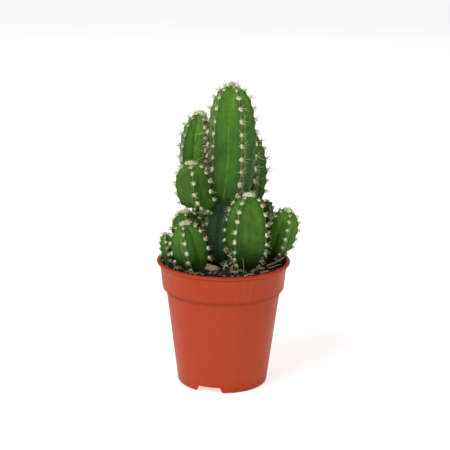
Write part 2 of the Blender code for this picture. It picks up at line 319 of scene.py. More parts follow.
def linear(red: float, green: float, blue: float) -> tuple[float, ...]:
    """Turn a colour on a 0 to 255 screen scale into light values."""
    share = np.array([red, green, blue]) / 255.0
    light = np.where(share <= 0.04045, share / 12.92, ((share + 0.055) / 1.055) ** 2.4)
    return (*light.tolist(), 1.0)


class Effect(Enum):
    """Surface effects that several finishes share: each group's own number and its output."""
    MOTTLE = ("Fine", "Mask")
    SPECKS = ("Size", "Mask")
    GRAIN = ("Cells", "Height")


class Nodes:
    """Short ways to place and join the nodes of one material or group."""

    def __init__(self, tree: bpy.types.NodeTree) -> None:
        """Keep the tree that the nodes go into."""
        self.tree = tree

    def add(self, kind: str, **settings: object) -> bpy.types.Node:
        """Add a node, and set its properties and its inputs.

        Args:
            kind: the node's type, without "ShaderNode".
            settings: properties by name, and inputs by name or by "input_" and their number.

        Returns:
            The node.
        """
        node = self.tree.nodes.new("ShaderNode" + kind)
        for name, value in settings.items():
            if hasattr(node, name):
                setattr(node, name, value)
            elif name.startswith("input_"):
                self.feed(node.inputs[int(name[6:])], value)
            else:
                self.feed(node.inputs[name.replace("_", " ")], value)
        return node

    def feed(self, socket: Socket, value: object) -> None:
        """Join an output to a socket, or set the socket's own value."""
        if isinstance(value, Socket):
            self.tree.links.new(value, socket)
        else:
            socket.default_value = value

    def dress(self, shader: bpy.types.Node, **settings: object) -> None:
        """Feed a shader's sockets, given by name with _ for each space."""
        for name, value in settings.items():
            self.feed(shader.inputs[name.replace("_", " ")], value)

    def math(self, operation: str, first: object, second: object) -> Socket:
        """Return first operation second."""
        return self.add("Math", operation=operation, input_0=first, input_1=second).outputs[0]

    def times(self, *factors: object) -> Socket:
        """Multiply the factors."""
        product = factors[0]
        for factor in factors[1:]:
            product = self.math("MULTIPLY", product, factor)
        return product

    def plus(self, first: object, second: object) -> Socket:
        """Add two numbers."""
        return self.math("ADD", first, second)

    def span(self, value: object, low: float, high: float, to_low: float = 0.0,
             to_high: float = 1.0) -> Socket:
        """Map low..high onto to_low..to_high with eased ends."""
        return self.add("MapRange", interpolation_type="SMOOTHSTEP", Value=value, From_Min=low, From_Max=high,
                        To_Min=to_low, To_Max=to_high).outputs[0]

    def over(self, under: object, share: object, colour: Colour) -> Socket:
        """Lay a screen colour over another by a share."""
        return self.add("Mix", data_type="RGBA", input_0=share, input_6=under,
                        input_7=linear(*colour)).outputs[2]

    def value(self, name: str) -> Socket:
        """Read one of the piece's named vertex values."""
        return self.add("Attribute", attribute_name=name).outputs["Fac"]

    def place(self) -> Socket:
        """Read the position in the object's own frame."""
        return self.add("TexCoord").outputs["Object"]

    def noise(self, where: Socket, scale: float, detail: float = 3.0, rough: float = 0.55,
              stretch: Point = (1.0, 1.0, 1.0)) -> Socket:
        """Cloudy noise at a scale in features for each metre, optionally stretched."""
        mapped = self.add("Mapping", Vector=where, Scale=stretch).outputs[0]
        return self.add("TexNoise", Vector=mapped, Scale=scale, Detail=detail, Roughness=rough).outputs["Fac"]

    def cells(self, where: Socket, scale: float) -> Socket:
        """Distance to the nearest of scattered points."""
        return self.add("TexVoronoi", Vector=where, Scale=scale).outputs["Distance"]

    def bump(self, height: Socket, strength: float, distance: float, **under: Socket) -> Socket:
        """Turn a height into a normal, on top of the one given as Normal."""
        return self.add("Bump", Strength=strength, Distance=distance, Height=height, **under).outputs[0]

    def effect(self, which: Effect, where: Socket, scale: float, amount: float) -> Socket:
        """Place a shared effect at a scale, with its own number."""
        group = bpy.data.node_groups.get(which.name.lower()) or effect_group(which)
        return self.add("Group", node_tree=group, Vector=where, Scale=scale, input_2=amount).outputs[0]


def effect_group(which: Effect) -> bpy.types.NodeTree:
    """Build the group of a shared effect.

    Args:
        which: MOTTLE is broad and fine cloudiness, SPECKS are sparse dots thinned by a slow cloud,
            and GRAIN is a fine uneven height from noise and cells.

    Returns:
        The group, whose inputs are Vector, Scale and the effect's own number.
    """
    tree = bpy.data.node_groups.new(which.name.lower(), "ShaderNodeTree")
    tree.interface.new_socket("Vector", in_out="INPUT", socket_type="NodeSocketVector")
    for name, way in (("Scale", "INPUT"), (which.value[0], "INPUT"), (which.value[1], "OUTPUT")):
        tree.interface.new_socket(name, in_out=way, socket_type="NodeSocketFloat")
    nodes, into, out = Nodes(tree), tree.nodes.new("NodeGroupInput"), tree.nodes.new("NodeGroupOutput")
    own = into.outputs[2]
    where = nodes.add("VectorMath", operation="SCALE", input_0=into.outputs[0],
                      Scale=into.outputs[1]).outputs[0]
    if which is Effect.MOTTLE:
        broad, fine = nodes.noise(where, 1.0, 2.0), nodes.noise(where, 7.0, 4.0, 0.65)
        both = nodes.plus(nodes.times(fine, own), nodes.times(broad, nodes.math("SUBTRACT", 1.0, own)))
        result = nodes.span(both, 0.32, 0.68)
    elif which is Effect.SPECKS:
        thin = nodes.span(nodes.noise(where, 0.13, 2.0), 0.42, 0.62)
        result = nodes.math("LESS_THAN", nodes.cells(where, 1.0), nodes.times(own, thin))
    else:
        result = nodes.plus(nodes.noise(where, 1.0, 3.0, 0.6), nodes.times(nodes.cells(where, 0.8), own))
    nodes.feed(out.inputs[0], result)
    return tree


# ------------------------------------------------------------------ finishes

@dataclass(frozen=True)
class Finish:
    """A material with a Principled shader, which each kind of finish paints its own way."""
    name: str

    def make(self) -> Material:
        """Build the material."""
        material = bpy.data.materials.new(self.name)
        material.use_nodes = True
        self.paint(Nodes(material.node_tree), material.node_tree.nodes["Principled BSDF"])
        return material

    def paint(self, nodes: Nodes, shader: bpy.types.Node) -> None:
        """Place the nodes that feed the shader."""
        raise NotImplementedError


@dataclass(frozen=True)
class SkinFinish(Finish):
    """Waxy cactus skin: old and blue-green low down, fresh and yellow-green at the tip."""
    old: Colour = (60, 84, 72)
    mature: Colour = (49, 82, 31)
    fresh: Colour = (97, 148, 47)
    furrow: Colour = (132, 170, 104)
    crest: Colour = (158, 166, 104)
    streaks: Colour = (30, 66, 26)
    glow: Colour = (84, 144, 44)
    cloud: Colour = (88, 140, 46)
    shoulder: Colour = (36, 78, 42)
    scale: Colour = (128, 146, 96)

    def paint(self, nodes: Nodes, shader: bpy.types.Node) -> None:
        """Read the values "crest", "share" and "pale_line" that the skin carries."""
        where, share, crest = nodes.place(), nodes.value("share"), nodes.value("crest")
        cloud = nodes.effect(Effect.MOTTLE, where, 90.0, 0.35)
        drift = nodes.plus(share, nodes.times(nodes.math("SUBTRACT", cloud, 0.5), 0.16))
        ripe, young = nodes.span(drift, 0.11, 0.39), nodes.span(drift, 0.50, 0.97)
        colour = nodes.over(linear(*self.old), ripe, self.mature)
        colour = nodes.over(colour, young, self.fresh)
        # light and dark streaks that run down the flanks
        streak = nodes.noise(where, 260.0, 3.0, 0.6, (1.0, 1.0, 0.16))
        colour = nodes.over(colour, nodes.span(streak, 0.35, 0.72, 0.0, 0.60), self.streaks)
        sheet = nodes.span(nodes.noise(where, 70.0, 2.0, 0.5, (1.0, 1.0, 0.4)), 0.42, 0.66)
        colour = nodes.over(colour, nodes.times(sheet, ripe, 0.34), self.glow)
        colour = nodes.over(colour, nodes.times(cloud, 0.20), self.cloud)
        # the furrows are tinted towards the fresh colour and carry a pale line, painted palest where they
        # face the front as a painted highlight against the groove's shade; the crest keeps a corky line
        colour = nodes.over(colour, nodes.times(nodes.span(crest, 0.42, 0.0, 0.0, 0.14), ripe), self.fresh)
        broken = nodes.span(nodes.noise(where, 420.0, 2.0), 0.30, 0.62)
        seen = nodes.times(nodes.span(crest, 0.095, 0.030), broken, nodes.value("pale_line"),
                           nodes.span(share, 0.05, 0.5, 0.1, 1.0))
        colour = nodes.over(colour, seen, self.furrow)
        flank = nodes.times(nodes.span(crest, 0.45, 0.90), nodes.span(cloud, 0.2, 0.8, 0.30, 0.62))
        colour = nodes.over(colour, flank, self.shoulder)
        cork = nodes.times(nodes.span(crest, 0.95, 0.995), nodes.span(streak, 0.3, 0.7, 0.35, 0.85), ripe)
        colour = nodes.over(colour, cork, self.crest)
        colour = nodes.over(colour, nodes.times(nodes.effect(Effect.SPECKS, where, 900.0, 0.30), 0.22),
                            self.scale)
        pores = nodes.bump(nodes.effect(Effect.GRAIN, where, 1300.0, 0.5), 0.30, 0.00025)
        folds = nodes.noise(where, 150.0, 3.0, 0.55, (0.5, 0.5, 2.6))
        nodes.dress(shader, Base_Color=colour, Roughness=nodes.span(cloud, 0.0, 1.0, 0.33, 0.52),
                    Normal=nodes.bump(folds, 0.32, 0.0009, Normal=pores), Specular_IOR_Level=0.17,
                    Specular_Tint=(0.85, 1.0, 0.55, 1.0), Subsurface_Weight=0.04, Subsurface_Scale=0.004,
                    Subsurface_Radius=(0.6, 1.0, 0.25))


@dataclass(frozen=True)
class WoolFinish(Finish):
    """Short wool of the cushions, from white through cream to a tan heart."""
    pale: Colour = (250, 255, 212)
    cream: Colour = (246, 254, 192)
    heart: Colour = (178, 150, 86)

    def paint(self, nodes: Nodes, shader: bpy.types.Node) -> None:
        """Read the values "tone" and "heart"."""
        where, tone = nodes.place(), nodes.value("tone")
        colour = nodes.over(linear(*self.pale), nodes.span(tone, 0.0, 0.5), self.cream)
        colour = nodes.over(colour, nodes.span(tone, 0.5, 1.0), self.heart)
        tuft = nodes.span(nodes.effect(Effect.MOTTLE, where, 1500.0, 0.5), 0.5, 1.0)
        stain = nodes.plus(nodes.times(tuft, 0.22), nodes.times(nodes.value("heart"), 0.26))
        height = nodes.effect(Effect.GRAIN, where, 4200.0, 0.4)
        nodes.dress(shader, Base_Color=nodes.over(colour, stain, self.heart), Roughness=0.9,
                    Sheen_Weight=0.35, Subsurface_Weight=0.12, Subsurface_Scale=0.0008,
                    Subsurface_Radius=(0.8, 1.0, 0.6), Normal=nodes.bump(height, 0.6, 0.0003))


@dataclass(frozen=True)
class SpineFinish(Finish):
    """Hard spines: reddish at the root, golden along the shaft, darker at the point."""
    root: Colour = (140, 64, 34)
    shaft: Colour = (250, 240, 192)
    point: Colour = (222, 190, 132)
    young: Colour = (248, 236, 186)

    def paint(self, nodes: Nodes, shader: bpy.types.Node) -> None:
        """Read the values "tone" and "along"."""
        along = nodes.value("along")
        colour = nodes.over(linear(*self.root), nodes.span(along, 0.15, 0.60), self.shaft)
        colour = nodes.over(colour, nodes.span(along, 0.62, 1.0), self.point)
        colour = nodes.over(colour, nodes.times(nodes.value("tone"), 0.75), self.young)
        rings = nodes.noise(nodes.place(), 2600.0, 2.0)
        nodes.dress(shader, Base_Color=nodes.over(colour, nodes.span(rings, 0.4, 0.7, 0.0, 0.25), self.root),
                    Roughness=nodes.span(rings, 0.3, 0.7, 0.30, 0.5), Subsurface_Weight=0.1,
                    Subsurface_Scale=0.001)


@dataclass(frozen=True)
class PlasticFinish(Finish):
    """Moulded pot plastic with handling scuffs, splashed dirt, a little lime, and painted shade in the
    creases under the lip and the collar step.
    """
    body: Colour = (182, 67, 37)
    faded: Colour = (184, 81, 50)
    grime_and_shade: Colour = (112, 46, 24)
    lime: Colour = (222, 178, 152)
    soil: Colour = (74, 42, 32)

    def paint(self, nodes: Nodes, shader: bpy.types.Node) -> None:
        """Read "level", the height on the wall, "inside", the inner face, and "crease", where shade is
        painted.
        """
        where, hollow = nodes.place(), nodes.value("crease")
        cloud = nodes.effect(Effect.MOTTLE, where, 34.0, 0.25)
        scuff = nodes.span(nodes.noise(where, 420.0, 3.0, 0.7, (0.25, 0.25, 2.4)), 0.66, 0.74)
        scratch = nodes.times(scuff, nodes.span(nodes.noise(where, 26.0, 2.0), 0.48, 0.70))
        soiled = nodes.span(nodes.noise(where, 300.0, 4.0), 0.35, 0.6, 0.25, 0.85)
        foot = nodes.span(nodes.value("level"), 0.10, 0.0)
        colour = linear(*self.body)
        for share, layer in (
                (nodes.times(cloud, 0.34), self.faded),
                (nodes.span(nodes.noise(where, 120.0, 4.0, 0.6, (1.0, 1.0, 0.05)), 0.58, 0.85, 0.0, 0.09),
                 self.lime),
                (nodes.times(scratch, 0.35), self.lime),
                (nodes.times(nodes.effect(Effect.SPECKS, where, 380.0, 0.13), 0.45), self.grime_and_shade),
                (nodes.times(nodes.effect(Effect.SPECKS, where, 1100.0, 0.30), 0.30), self.grime_and_shade),
                # painted shade: the creases under the lip and below the collar step are darkened with the
                # dirt colour
                (nodes.times(hollow, nodes.span(cloud, 0.0, 1.0, 0.50, 0.72)), self.grime_and_shade),
                (nodes.times(nodes.value("inside"), soiled), self.soil),
                (nodes.times(foot, nodes.span(cloud, 0.2, 0.9, 0.1, 0.4)), self.grime_and_shade)):
            colour = nodes.over(colour, share, layer)
        gloss = nodes.plus(nodes.span(cloud, 0.0, 1.0, 0.36, 0.50), nodes.times(scratch, 0.2))
        skin = nodes.bump(nodes.effect(Effect.GRAIN, where, 900.0, 0.2), 0.10, 0.0002)
        waves = nodes.noise(where, 38.0, 2.0, 0.5, (1.0, 1.0, 0.5))
        nodes.dress(shader, Base_Color=colour, Roughness=nodes.plus(gloss, nodes.times(hollow, 0.45)),
                    Normal=nodes.bump(waves, 0.18, 0.0012, Normal=skin), Specular_IOR_Level=0.14,
                    Specular_Tint=(1.0, 0.78, 0.48, 1.0), Subsurface_Weight=0.03, Subsurface_Scale=0.002)


@dataclass(frozen=True)
class LooseFinish(Finish):
    """Loose matter such as peat, stone, bark or fibre, in three colours picked by "tone"."""
    dark: Colour
    middle: Colour
    light: Colour
    roughness: tuple[float, float] = (0.75, 0.98)
    cloud_scale: float = 700.0
    cloud_share: float = 0.45
    stretch: Point = (1.0, 1.0, 1.0)
    bump_depth: float = 0.0005

    def paint(self, nodes: Nodes, shader: bpy.types.Node) -> None:
        """Blend the value "tone" with noise at the matter's own scale."""
        where, scale, deep = nodes.place(), self.cloud_scale, self.bump_depth
        vein = nodes.noise(where, scale * 2.2, 4.0, 0.65, self.stretch)
        cloud = nodes.plus(nodes.effect(Effect.MOTTLE, where, scale, 0.5), vein)
        mixed = nodes.plus(nodes.times(nodes.value("tone"), 1 - self.cloud_share),
                           nodes.times(cloud, self.cloud_share / 2))
        colour = nodes.over(linear(*self.dark), nodes.span(mixed, 0.0, 0.5), self.middle)
        colour = nodes.over(colour, nodes.span(mixed, 0.5, 1.0), self.light)
        grit = nodes.times(nodes.effect(Effect.SPECKS, where, scale * 3, 0.3), 0.5)
        rough = nodes.bump(nodes.effect(Effect.GRAIN, where, scale * 3, 0.5), 0.8, deep)
        nodes.dress(shader, Base_Color=nodes.over(colour, grit, self.dark),
                    Roughness=nodes.span(vein, 0.2, 0.8, *self.roughness),
                    Normal=nodes.bump(vein, 0.6, deep, Normal=rough))


@dataclass(frozen=True)
class FloorFinish(Finish):
    """Plain matt white, with the faintest unevenness."""
    white: Colour = (250, 250, 250)
    shade: Colour = (247, 247, 246)
    glow: float = 0.60

    def paint(self, nodes: Nodes, shader: bpy.types.Node) -> None:
        """Cloud the white a little."""
        cloud = nodes.effect(Effect.MOTTLE, nodes.place(), 9.0, 0.3)
        nodes.dress(shader, Base_Color=nodes.over(linear(*self.white), cloud, self.shade), Roughness=0.95,
                    Specular_IOR_Level=0.1, Emission_Color=(1.0, 1.0, 1.0, 1.0), Emission_Strength=self.glow)


# ------------------------------------------------------------------ pot

@dataclass
class Pot:
    """The moulded nursery pot, turned from one outline and notched at the foot; in millimetres."""
    wall: float = 1.0
    bead: float = 2.4
    collar_top_radius: float = 50.3
    collar_bottom_radius: float = 47.9
    collar_bottom: float = 77.4
    step_bottom: float = 74.4
    body_top_radius: float = 44.8
    body_foot_radius: float = 35.8
    foot_radius: float = 34.6
    foot_round: float = 3.6
    floor_underside: float = 3.6
    floor_thickness: float = 1.5
    notch_height: float = 4.6
    notch_angles: tuple[float, ...] = (-17.4, 102.6, 222.6)
    notch_span: float = 38.0
    notch_slope: float = 5.2
    drain_holes: int = 8
    drain_radius: float = 4.0
    drain_circle: float = 23.0
    columns: int = 360

    def body_radius(self, height: Array | float) -> Array | float:
        """Outer radius of the straight tapered body at a height."""
        share = (height - self.foot_round) / (self.step_bottom - self.foot_round)
        return self.body_foot_radius + (self.body_top_radius - self.body_foot_radius) * share

    def collar_radius(self, height: Array | float) -> Array | float:
        """Outer radius of the collar at a height."""
        share = (height - self.collar_bottom) / (RIM_HEIGHT - self.collar_bottom)
        return self.collar_bottom_radius + (self.collar_top_radius - self.collar_bottom_radius) * share

    @staticmethod
    def bend(count: int, *given: tuple[float, float]) -> list[tuple[float, float]]:
        """Points on the quadratic curve from the first to the last, which the middle one pulls."""
        t = np.linspace(0, 1, count)[:, None]
        a, b, c = np.array(given)
        return [tuple(p) for p in (1 - t) ** 2 * a + 2 * t * (1 - t) * b + t**2 * c]

    def outline(self) -> Array:
        """The wall's outline from the floor's top, over the lip and down to the floor's underside."""
        wall, out, collar, bend = self.wall, self.body_radius, self.collar_radius, self.bend
        rim, top, base = RIM_HEIGHT, self.collar_top_radius, self.collar_bottom_radius
        low, step, under = self.collar_bottom, self.step_bottom, rim - self.bead
        body, sole = self.body_top_radius, self.floor_underside
        floor, lip, foot = sole + self.floor_thickness, top - wall, self.foot_radius
        inner, low_edge = foot - 1.3, low + 1.3
        slope = ((base - 1.3, low - 1.3), (body + 0.9, step + 0.7))
        corner = np.radians(np.linspace(90, 0, 7))
        return np.array([
            *((r, floor) for r in (6, 14, 20, 27)),
            *bend(5, (out(floor) - wall - 1.5, floor), (out(floor) - wall, floor),
                  (out(floor + 1.5) - wall, floor + 1.5)),
            *((out(h) - wall, h) for h in np.linspace(floor + 4, step - 1, 12)),
            *bend(5, (body - wall, step + 0.2), (body - wall + 0.4, step + wall), (base - wall - 1.2, low)),
            *((collar(h) - wall, h) for h in (low + wall, *np.linspace(low + 3, rim - 1.2, 8))),
            # the lip: a soft inner shoulder, a flat crown and a rolled bead with a groove under it
            *bend(5, (lip, rim - 0.8), (lip, rim), (lip + 0.7, rim)),
            *((RIM_RADIUS - self.bead / 2 * (1 - np.cos(a)), rim - self.bead / 2 * (1 - np.sin(a)))
              for a in np.radians(np.linspace(90, -78, 14))),
            *bend(4, (top + 0.25, under - 0.05), (top - 0.1, under), (top - 0.15, under - 0.35)),
            *bend(3, (top - 0.12, under - 0.9), (top, under - 1.4), (top - 0.15, under - 2.2)),
            # the collar, the sloped step and the tapered body
            *((collar(h), h) for h in np.linspace(rim - 7, low_edge, 9)),
            *bend(6, (collar(low_edge), low_edge - 0.3), (base, low - 0.3), slope[0])[1:],
            *np.linspace(*slope, 4)[1:-1],
            *bend(6, slope[1], (body, step + 0.1), (out(step - 1.4), step - 1.4)),
            *((out(h), h) for h in np.linspace(step - 4, self.foot_round + 0.8, 26)),
            # the foot, rounded outside and hollow below
            *((foot + (self.body_foot_radius - foot) * np.sin(a),
               self.foot_round * (1 - np.cos(a)) + 0.25 * (1 - a / corner[0])) for a in corner),
            *bend(3, (foot, 0.25), (foot, 0.0), (foot - 0.25, 0.0))[1:],
            (inner + 0.2, 0.0), (inner, 0.2), (inner, 1.8),
            *bend(3, (inner, sole - 0.4), (inner, sole), (inner - 0.4, sole)),
            *((r, sole) for r in (27, 20, 14, 6))])

    def surface(self) -> Surface:
        """Turn the outline, then lift what lies below the foot's edge up to it.

        A point is (r sin a, -r cos a, max(z, edge(a))).  The edge is flat but for the notches,
        whose two sides rise smoothly over a narrow span of angle.
        """
        radius, height = (part[:, None] for part in self.outline().T)
        spread = TWO_PI * np.arange(self.columns) / self.columns
        # columns crowd at the sides of the notches, so that these stay crisp
        extra = [np.radians(middle + side * (self.notch_span / 2 - step)) for middle in self.notch_angles
                 for side in (-1, 1) for step in np.linspace(-0.4, self.notch_slope + 0.4, 12)]
        angle = np.unique(np.round(np.concatenate([spread, np.mod(extra, TWO_PI)]), 5))
        off = np.abs((angle - np.radians(self.notch_angles)[:, None] + np.pi) % TWO_PI - np.pi)
        sides = (np.radians(self.notch_span / 2) - off) / np.radians(self.notch_slope)
        edge = self.notch_height * smooth(sides).max(axis=0)
        # only what lies near the foot ring is lifted, so the floor stays whole
        raised = np.where(radius > self.foot_radius - 2.6, np.maximum(height, edge + 0.04 * height), height)
        sag = 0.12 * np.sin(3 * angle + 0.8) * smooth((height - 20) / 80)
        ring = polar(radius + sag, angle, raised)
        rings, columns = ring.shape[:2]
        height = height[:, 0]
        points = np.vstack([ring.reshape(-1, 3), [[0, 0, height[0]], [0, 0, height[-1]]]])
        inside = np.clip((np.argmax(height >= RIM_HEIGHT - 1e-3) - np.arange(rings)) / 2.0, 0, 1)
        inside *= height > self.floor_underside + self.floor_thickness / 2
        # crease marks where shade is painted on the pot: the groove under the bead and the underside of the
        # collar step
        crease = 0.8 * np.exp(-((height - RIM_HEIGHT + self.bead + 0.2) / 0.5) ** 2)
        crease += np.exp(-((height - self.step_bottom - 1.7) / 1.9) ** 2)
        values = {"inside": inside, "crease": crease * (inside == 0), "level": height / RIM_HEIGHT}
        # this outline runs from the inside out, so every face is turned over
        triangles, quads = (faces[:, ::-1] for faces in tube_faces(rings, columns))
        return Surface(points * MM, triangles, quads,
                       {name: np.append(np.repeat(value, columns), value[[0, -1]])
                        for name, value in values.items()})

    def drill(self, piece: bpy.types.Object) -> None:
        """Cut the ring of drain holes through the floor and bake the cut into the mesh."""
        turn = TWO_PI * (np.arange(self.drain_holes) + 0.5) / self.drain_holes
        feet = polar(self.drain_circle, turn, 0.0) * MM + POT_AXIS
        pins = tubes(feet[:, None] + np.array([[0, 0, 1.0], [0, 0, 9.0]]) * MM,
                     np.full((self.drain_holes, 2), self.drain_radius * MM), 32, np.zeros(self.drain_holes))
        mesh = bpy.data.meshes.new("drain_pins")
        mesh.from_pydata(pins.points.tolist(), [], pins.triangles.tolist() + pins.quads.tolist())
        tool = bpy.data.objects.new("drain_pins", mesh)
        bpy.context.scene.collection.objects.link(tool)
        cut = piece.modifiers.new("drains", "BOOLEAN")
        cut.operation, cut.solver, cut.object = "DIFFERENCE", "EXACT", tool
        bpy.context.view_layer.update()
        depsgraph = bpy.context.evaluated_depsgraph_get()
        drilled = bpy.data.meshes.new_from_object(piece.evaluated_get(depsgraph), depsgraph=depsgraph,
                                                  preserve_all_data_layers=True)
        piece.modifiers.remove(cut)
        piece.data = drilled
        bpy.data.objects.remove(tool)

    def build(self, finish: Material) -> None:
        """Make the pot's piece."""
        piece = self.surface().make("pot_shell", finish, "pot_plastic", "nursery_pot")
        self.drill(piece)
        piece.data.shade_smooth()
        piece.data.set_sharp_from_angle(angle=np.radians(38))


# ------------------------------------------------------------------ soil

@dataclass
class Soil:
    """The root ball's visible body, with loose crumbs, fibres and grit on top; in millimetres."""
    edge_height: float = 92.3
    crown: float = 3.0
    bottom: float = 5.4
    gap: float = 0.15
    reach: float = 48.2
    lump: float = 0.9
    columns: int = 220
    top_rings: int = 54
    crumbs: int = 1900
    fibres: int = 130
    grit: int = 210

    def height(self, x: Array, y: Array) -> Array:
        """Height of the surface in metres: a low crown with broad lumps, fading out at the wall."""
        away = np.hypot(x, y) / (self.reach * MM)
        broad = layered_noise(stacked(x, y, 0.0 * x) / (9 * MM), 11, 3)
        return MM * (self.edge_height + self.crown * (1 - away**2) + self.lump * broad * (1 - away**6))

    def bed(self, pot: Pot) -> Surface:
        """One closed skin: the underside, the wall's inside, then rings of the top to its middle.

        The top is height(x, y) plus fine clods that fade at the wall, and its tone follows the clods' height,
        which paints shade into the hollows between them.
        """
        wall, low, step, base = pot.wall + self.gap, pot.collar_bottom, pot.step_bottom, self.bottom
        edge = pot.collar_radius(self.edge_height) - wall
        sides = np.array([
            (12, base), (24, base), (pot.body_radius(base) - wall - 1.6, base),
            (pot.body_radius(base + 2) - wall - 0.2, base + 2),
            *((pot.body_radius(h) - wall, h) for h in np.linspace(12, step - 2, 10)),
            (pot.body_top_radius - wall, step + 1), (pot.collar_radius(low + 2) - wall - 0.4, low + 3),
            *((pot.collar_radius(h) - wall, h) for h in np.linspace(84, self.edge_height - 1, 4))])
        radius = np.append(sides[:, 0], edge * np.linspace(1, 0.02, self.top_rings))[:, None]
        points = polar(radius, TWO_PI * np.arange(self.columns) / self.columns, 0.0)
        clods = 2.4 * np.abs(layered_noise(points / 2.8, 31, 4)) + 0.35 * layered_noise(points / 1.1, 57, 2)
        fade = smooth((1 - radius / edge) / 0.04)
        points[..., 2] = self.height(points[..., 0] * MM, points[..., 1] * MM) / MM
        points[..., 2] += clods * (0.25 + 0.75 * fade)
        points[:len(sides), :, 2] = sides[:, 1:]
        middle = float(self.height(np.zeros(1), np.zeros(1))[0]) / MM
        # painted shade: the tone rises with the clods' height, so the hollows between them are darker
        tone = np.append(np.clip(0.04 + clods / 5.5, 0, 1), [0.2, 0.3])
        return Surface(np.vstack([points.reshape(-1, 3), [[0, 0, base], [0, 0, middle]]]) * MM,
                       *tube_faces(len(radius), self.columns), {"tone": tone})

    def scatter(self, rng: np.random.Generator, count: int, edge: float, stems: tuple["Stem", ...]) -> Array:
        """Random places on the surface that no stem stands on.

        Args:
            rng: the random source.
            count: places to draw before those under a stem are dropped.
            edge: how far out from the axis they may lie.
            stems: the stems to keep clear of.

        Returns:
            Points in metres.
        """
        away = edge * MM * np.sqrt(rng.uniform(0, 1, count))
        places = polar(away, rng.uniform(0, TWO_PI, count), 0.0)
        places[:, 2] = self.height(places[:, 0], places[:, 1])
        return places[~np.any([stem.covers(places, 0.80) for stem in stems], axis=0)]

    def fibre_surface(self, rng: np.random.Generator, places: Array) -> Surface:
        """Fibres that follow the ground, each bent aside as 4 t^2 from its middle."""
        count = len(places)
        heading = unit(rng.normal(size=(count, 3)) * np.array([1, 1, 0.10]))
        length = rng.uniform(2.0, 9.0, count)[:, None] * MM
        t = np.linspace(-0.5, 0.5, 6)[:, None]
        aside = unit(np.cross(heading, [0, 0, 1.0])) * rng.normal(0, 0.9, count)[:, None] * MM
        lines = places[:, None] + heading[:, None] * length[:, None] * t + aside[:, None] * (4 * t**2)
        lines[..., :2] *= np.minimum(1.0, 46.6 * MM / np.hypot(lines[..., 0], lines[..., 1]))[..., None]
        lines[..., 2] = (self.height(lines[..., 0], lines[..., 1]) + 1.2 * MM
                         + heading[:, None, 2] * length * t[:, 0])
        radii = rng.uniform(0.10, 0.34, count)[:, None] * MM * np.array([0.5, 0.9, 1.0, 0.95, 0.8, 0.4])
        return tubes(lines, radii, 5, rng.uniform(0, 1, count))

    def build(self, pot: Pot, stems: tuple["Stem", ...], peat: Material, wood: Material,
              stone: Material) -> None:
        """Make the bed and everything loose on it."""
        rng = np.random.default_rng(401)
        self.bed(pot).make("soil_bed", peat, "potting_soil", "potting_soil")
        places = self.scatter(rng, self.crumbs, 46.6, stems)
        count = len(places)
        size = 0.62 * MM * rng.gamma(2.0, 0.62, count).clip(0.5, 4.2)[:, None]
        size = size * rng.uniform(0.7, 1.25, (count, 3))
        places[:, 2] += 0.45 * MM + size[:, 2] * 0.35
        lumps(places, size, random_axes(rng, count), 402, rng.uniform(0, 1, count) ** 2.2, 0.30, 2, 6).make(
            "soil_crumbs", peat, "potting_soil")
        places = self.scatter(rng, self.fibres, 45.5, stems)
        self.fibre_surface(rng, places).make("soil_fibres", wood, "wood_fibre")
        places = self.scatter(rng, self.grit, 46.0, stems)
        count = len(places)
        size = 0.42 * MM * rng.gamma(2.0, 0.5, count).clip(0.6, 2.6)[:, None]
        size = size * rng.uniform(0.7, 1.3, (count, 3))
        places[:, 2] += 1.0 * MM + size[:, 2] * 0.3
        lumps(places, size, random_axes(rng, count), 403, rng.uniform(0, 1, count) ** 1.4, 0.22, 3, 7).make(
            "soil_grit", stone, "pebble")


# ------------------------------------------------------------------ stems

# places from a rib's crest (0) down to its furrow (1), close together where the skin turns
FLANK = np.array([0, 0.03, 0.07, 0.13, 0.21, 0.32, 0.45, 0.58, 0.71, 0.82, 0.90, 0.955])


@dataclass
class Areoles:
    """Where the cushions of one stem sit, how they face, their size and their spines' reach."""
    place: Array
    normal: Array
    upward: Array
    size: Array
    reach: Array

    def frames(self) -> tuple[Array, Array, Array]:
        """Directions up the rib, across it and out of it, each with a middle axis for its strands."""
        across = np.cross(self.upward, self.normal)
        return self.upward[:, None], across[:, None], self.normal[:, None]

    def kept(self, which: Array) -> "Areoles":
        """The same, with only the marked ones."""
        return Areoles(*(part[which] for part in vars(self).values()))


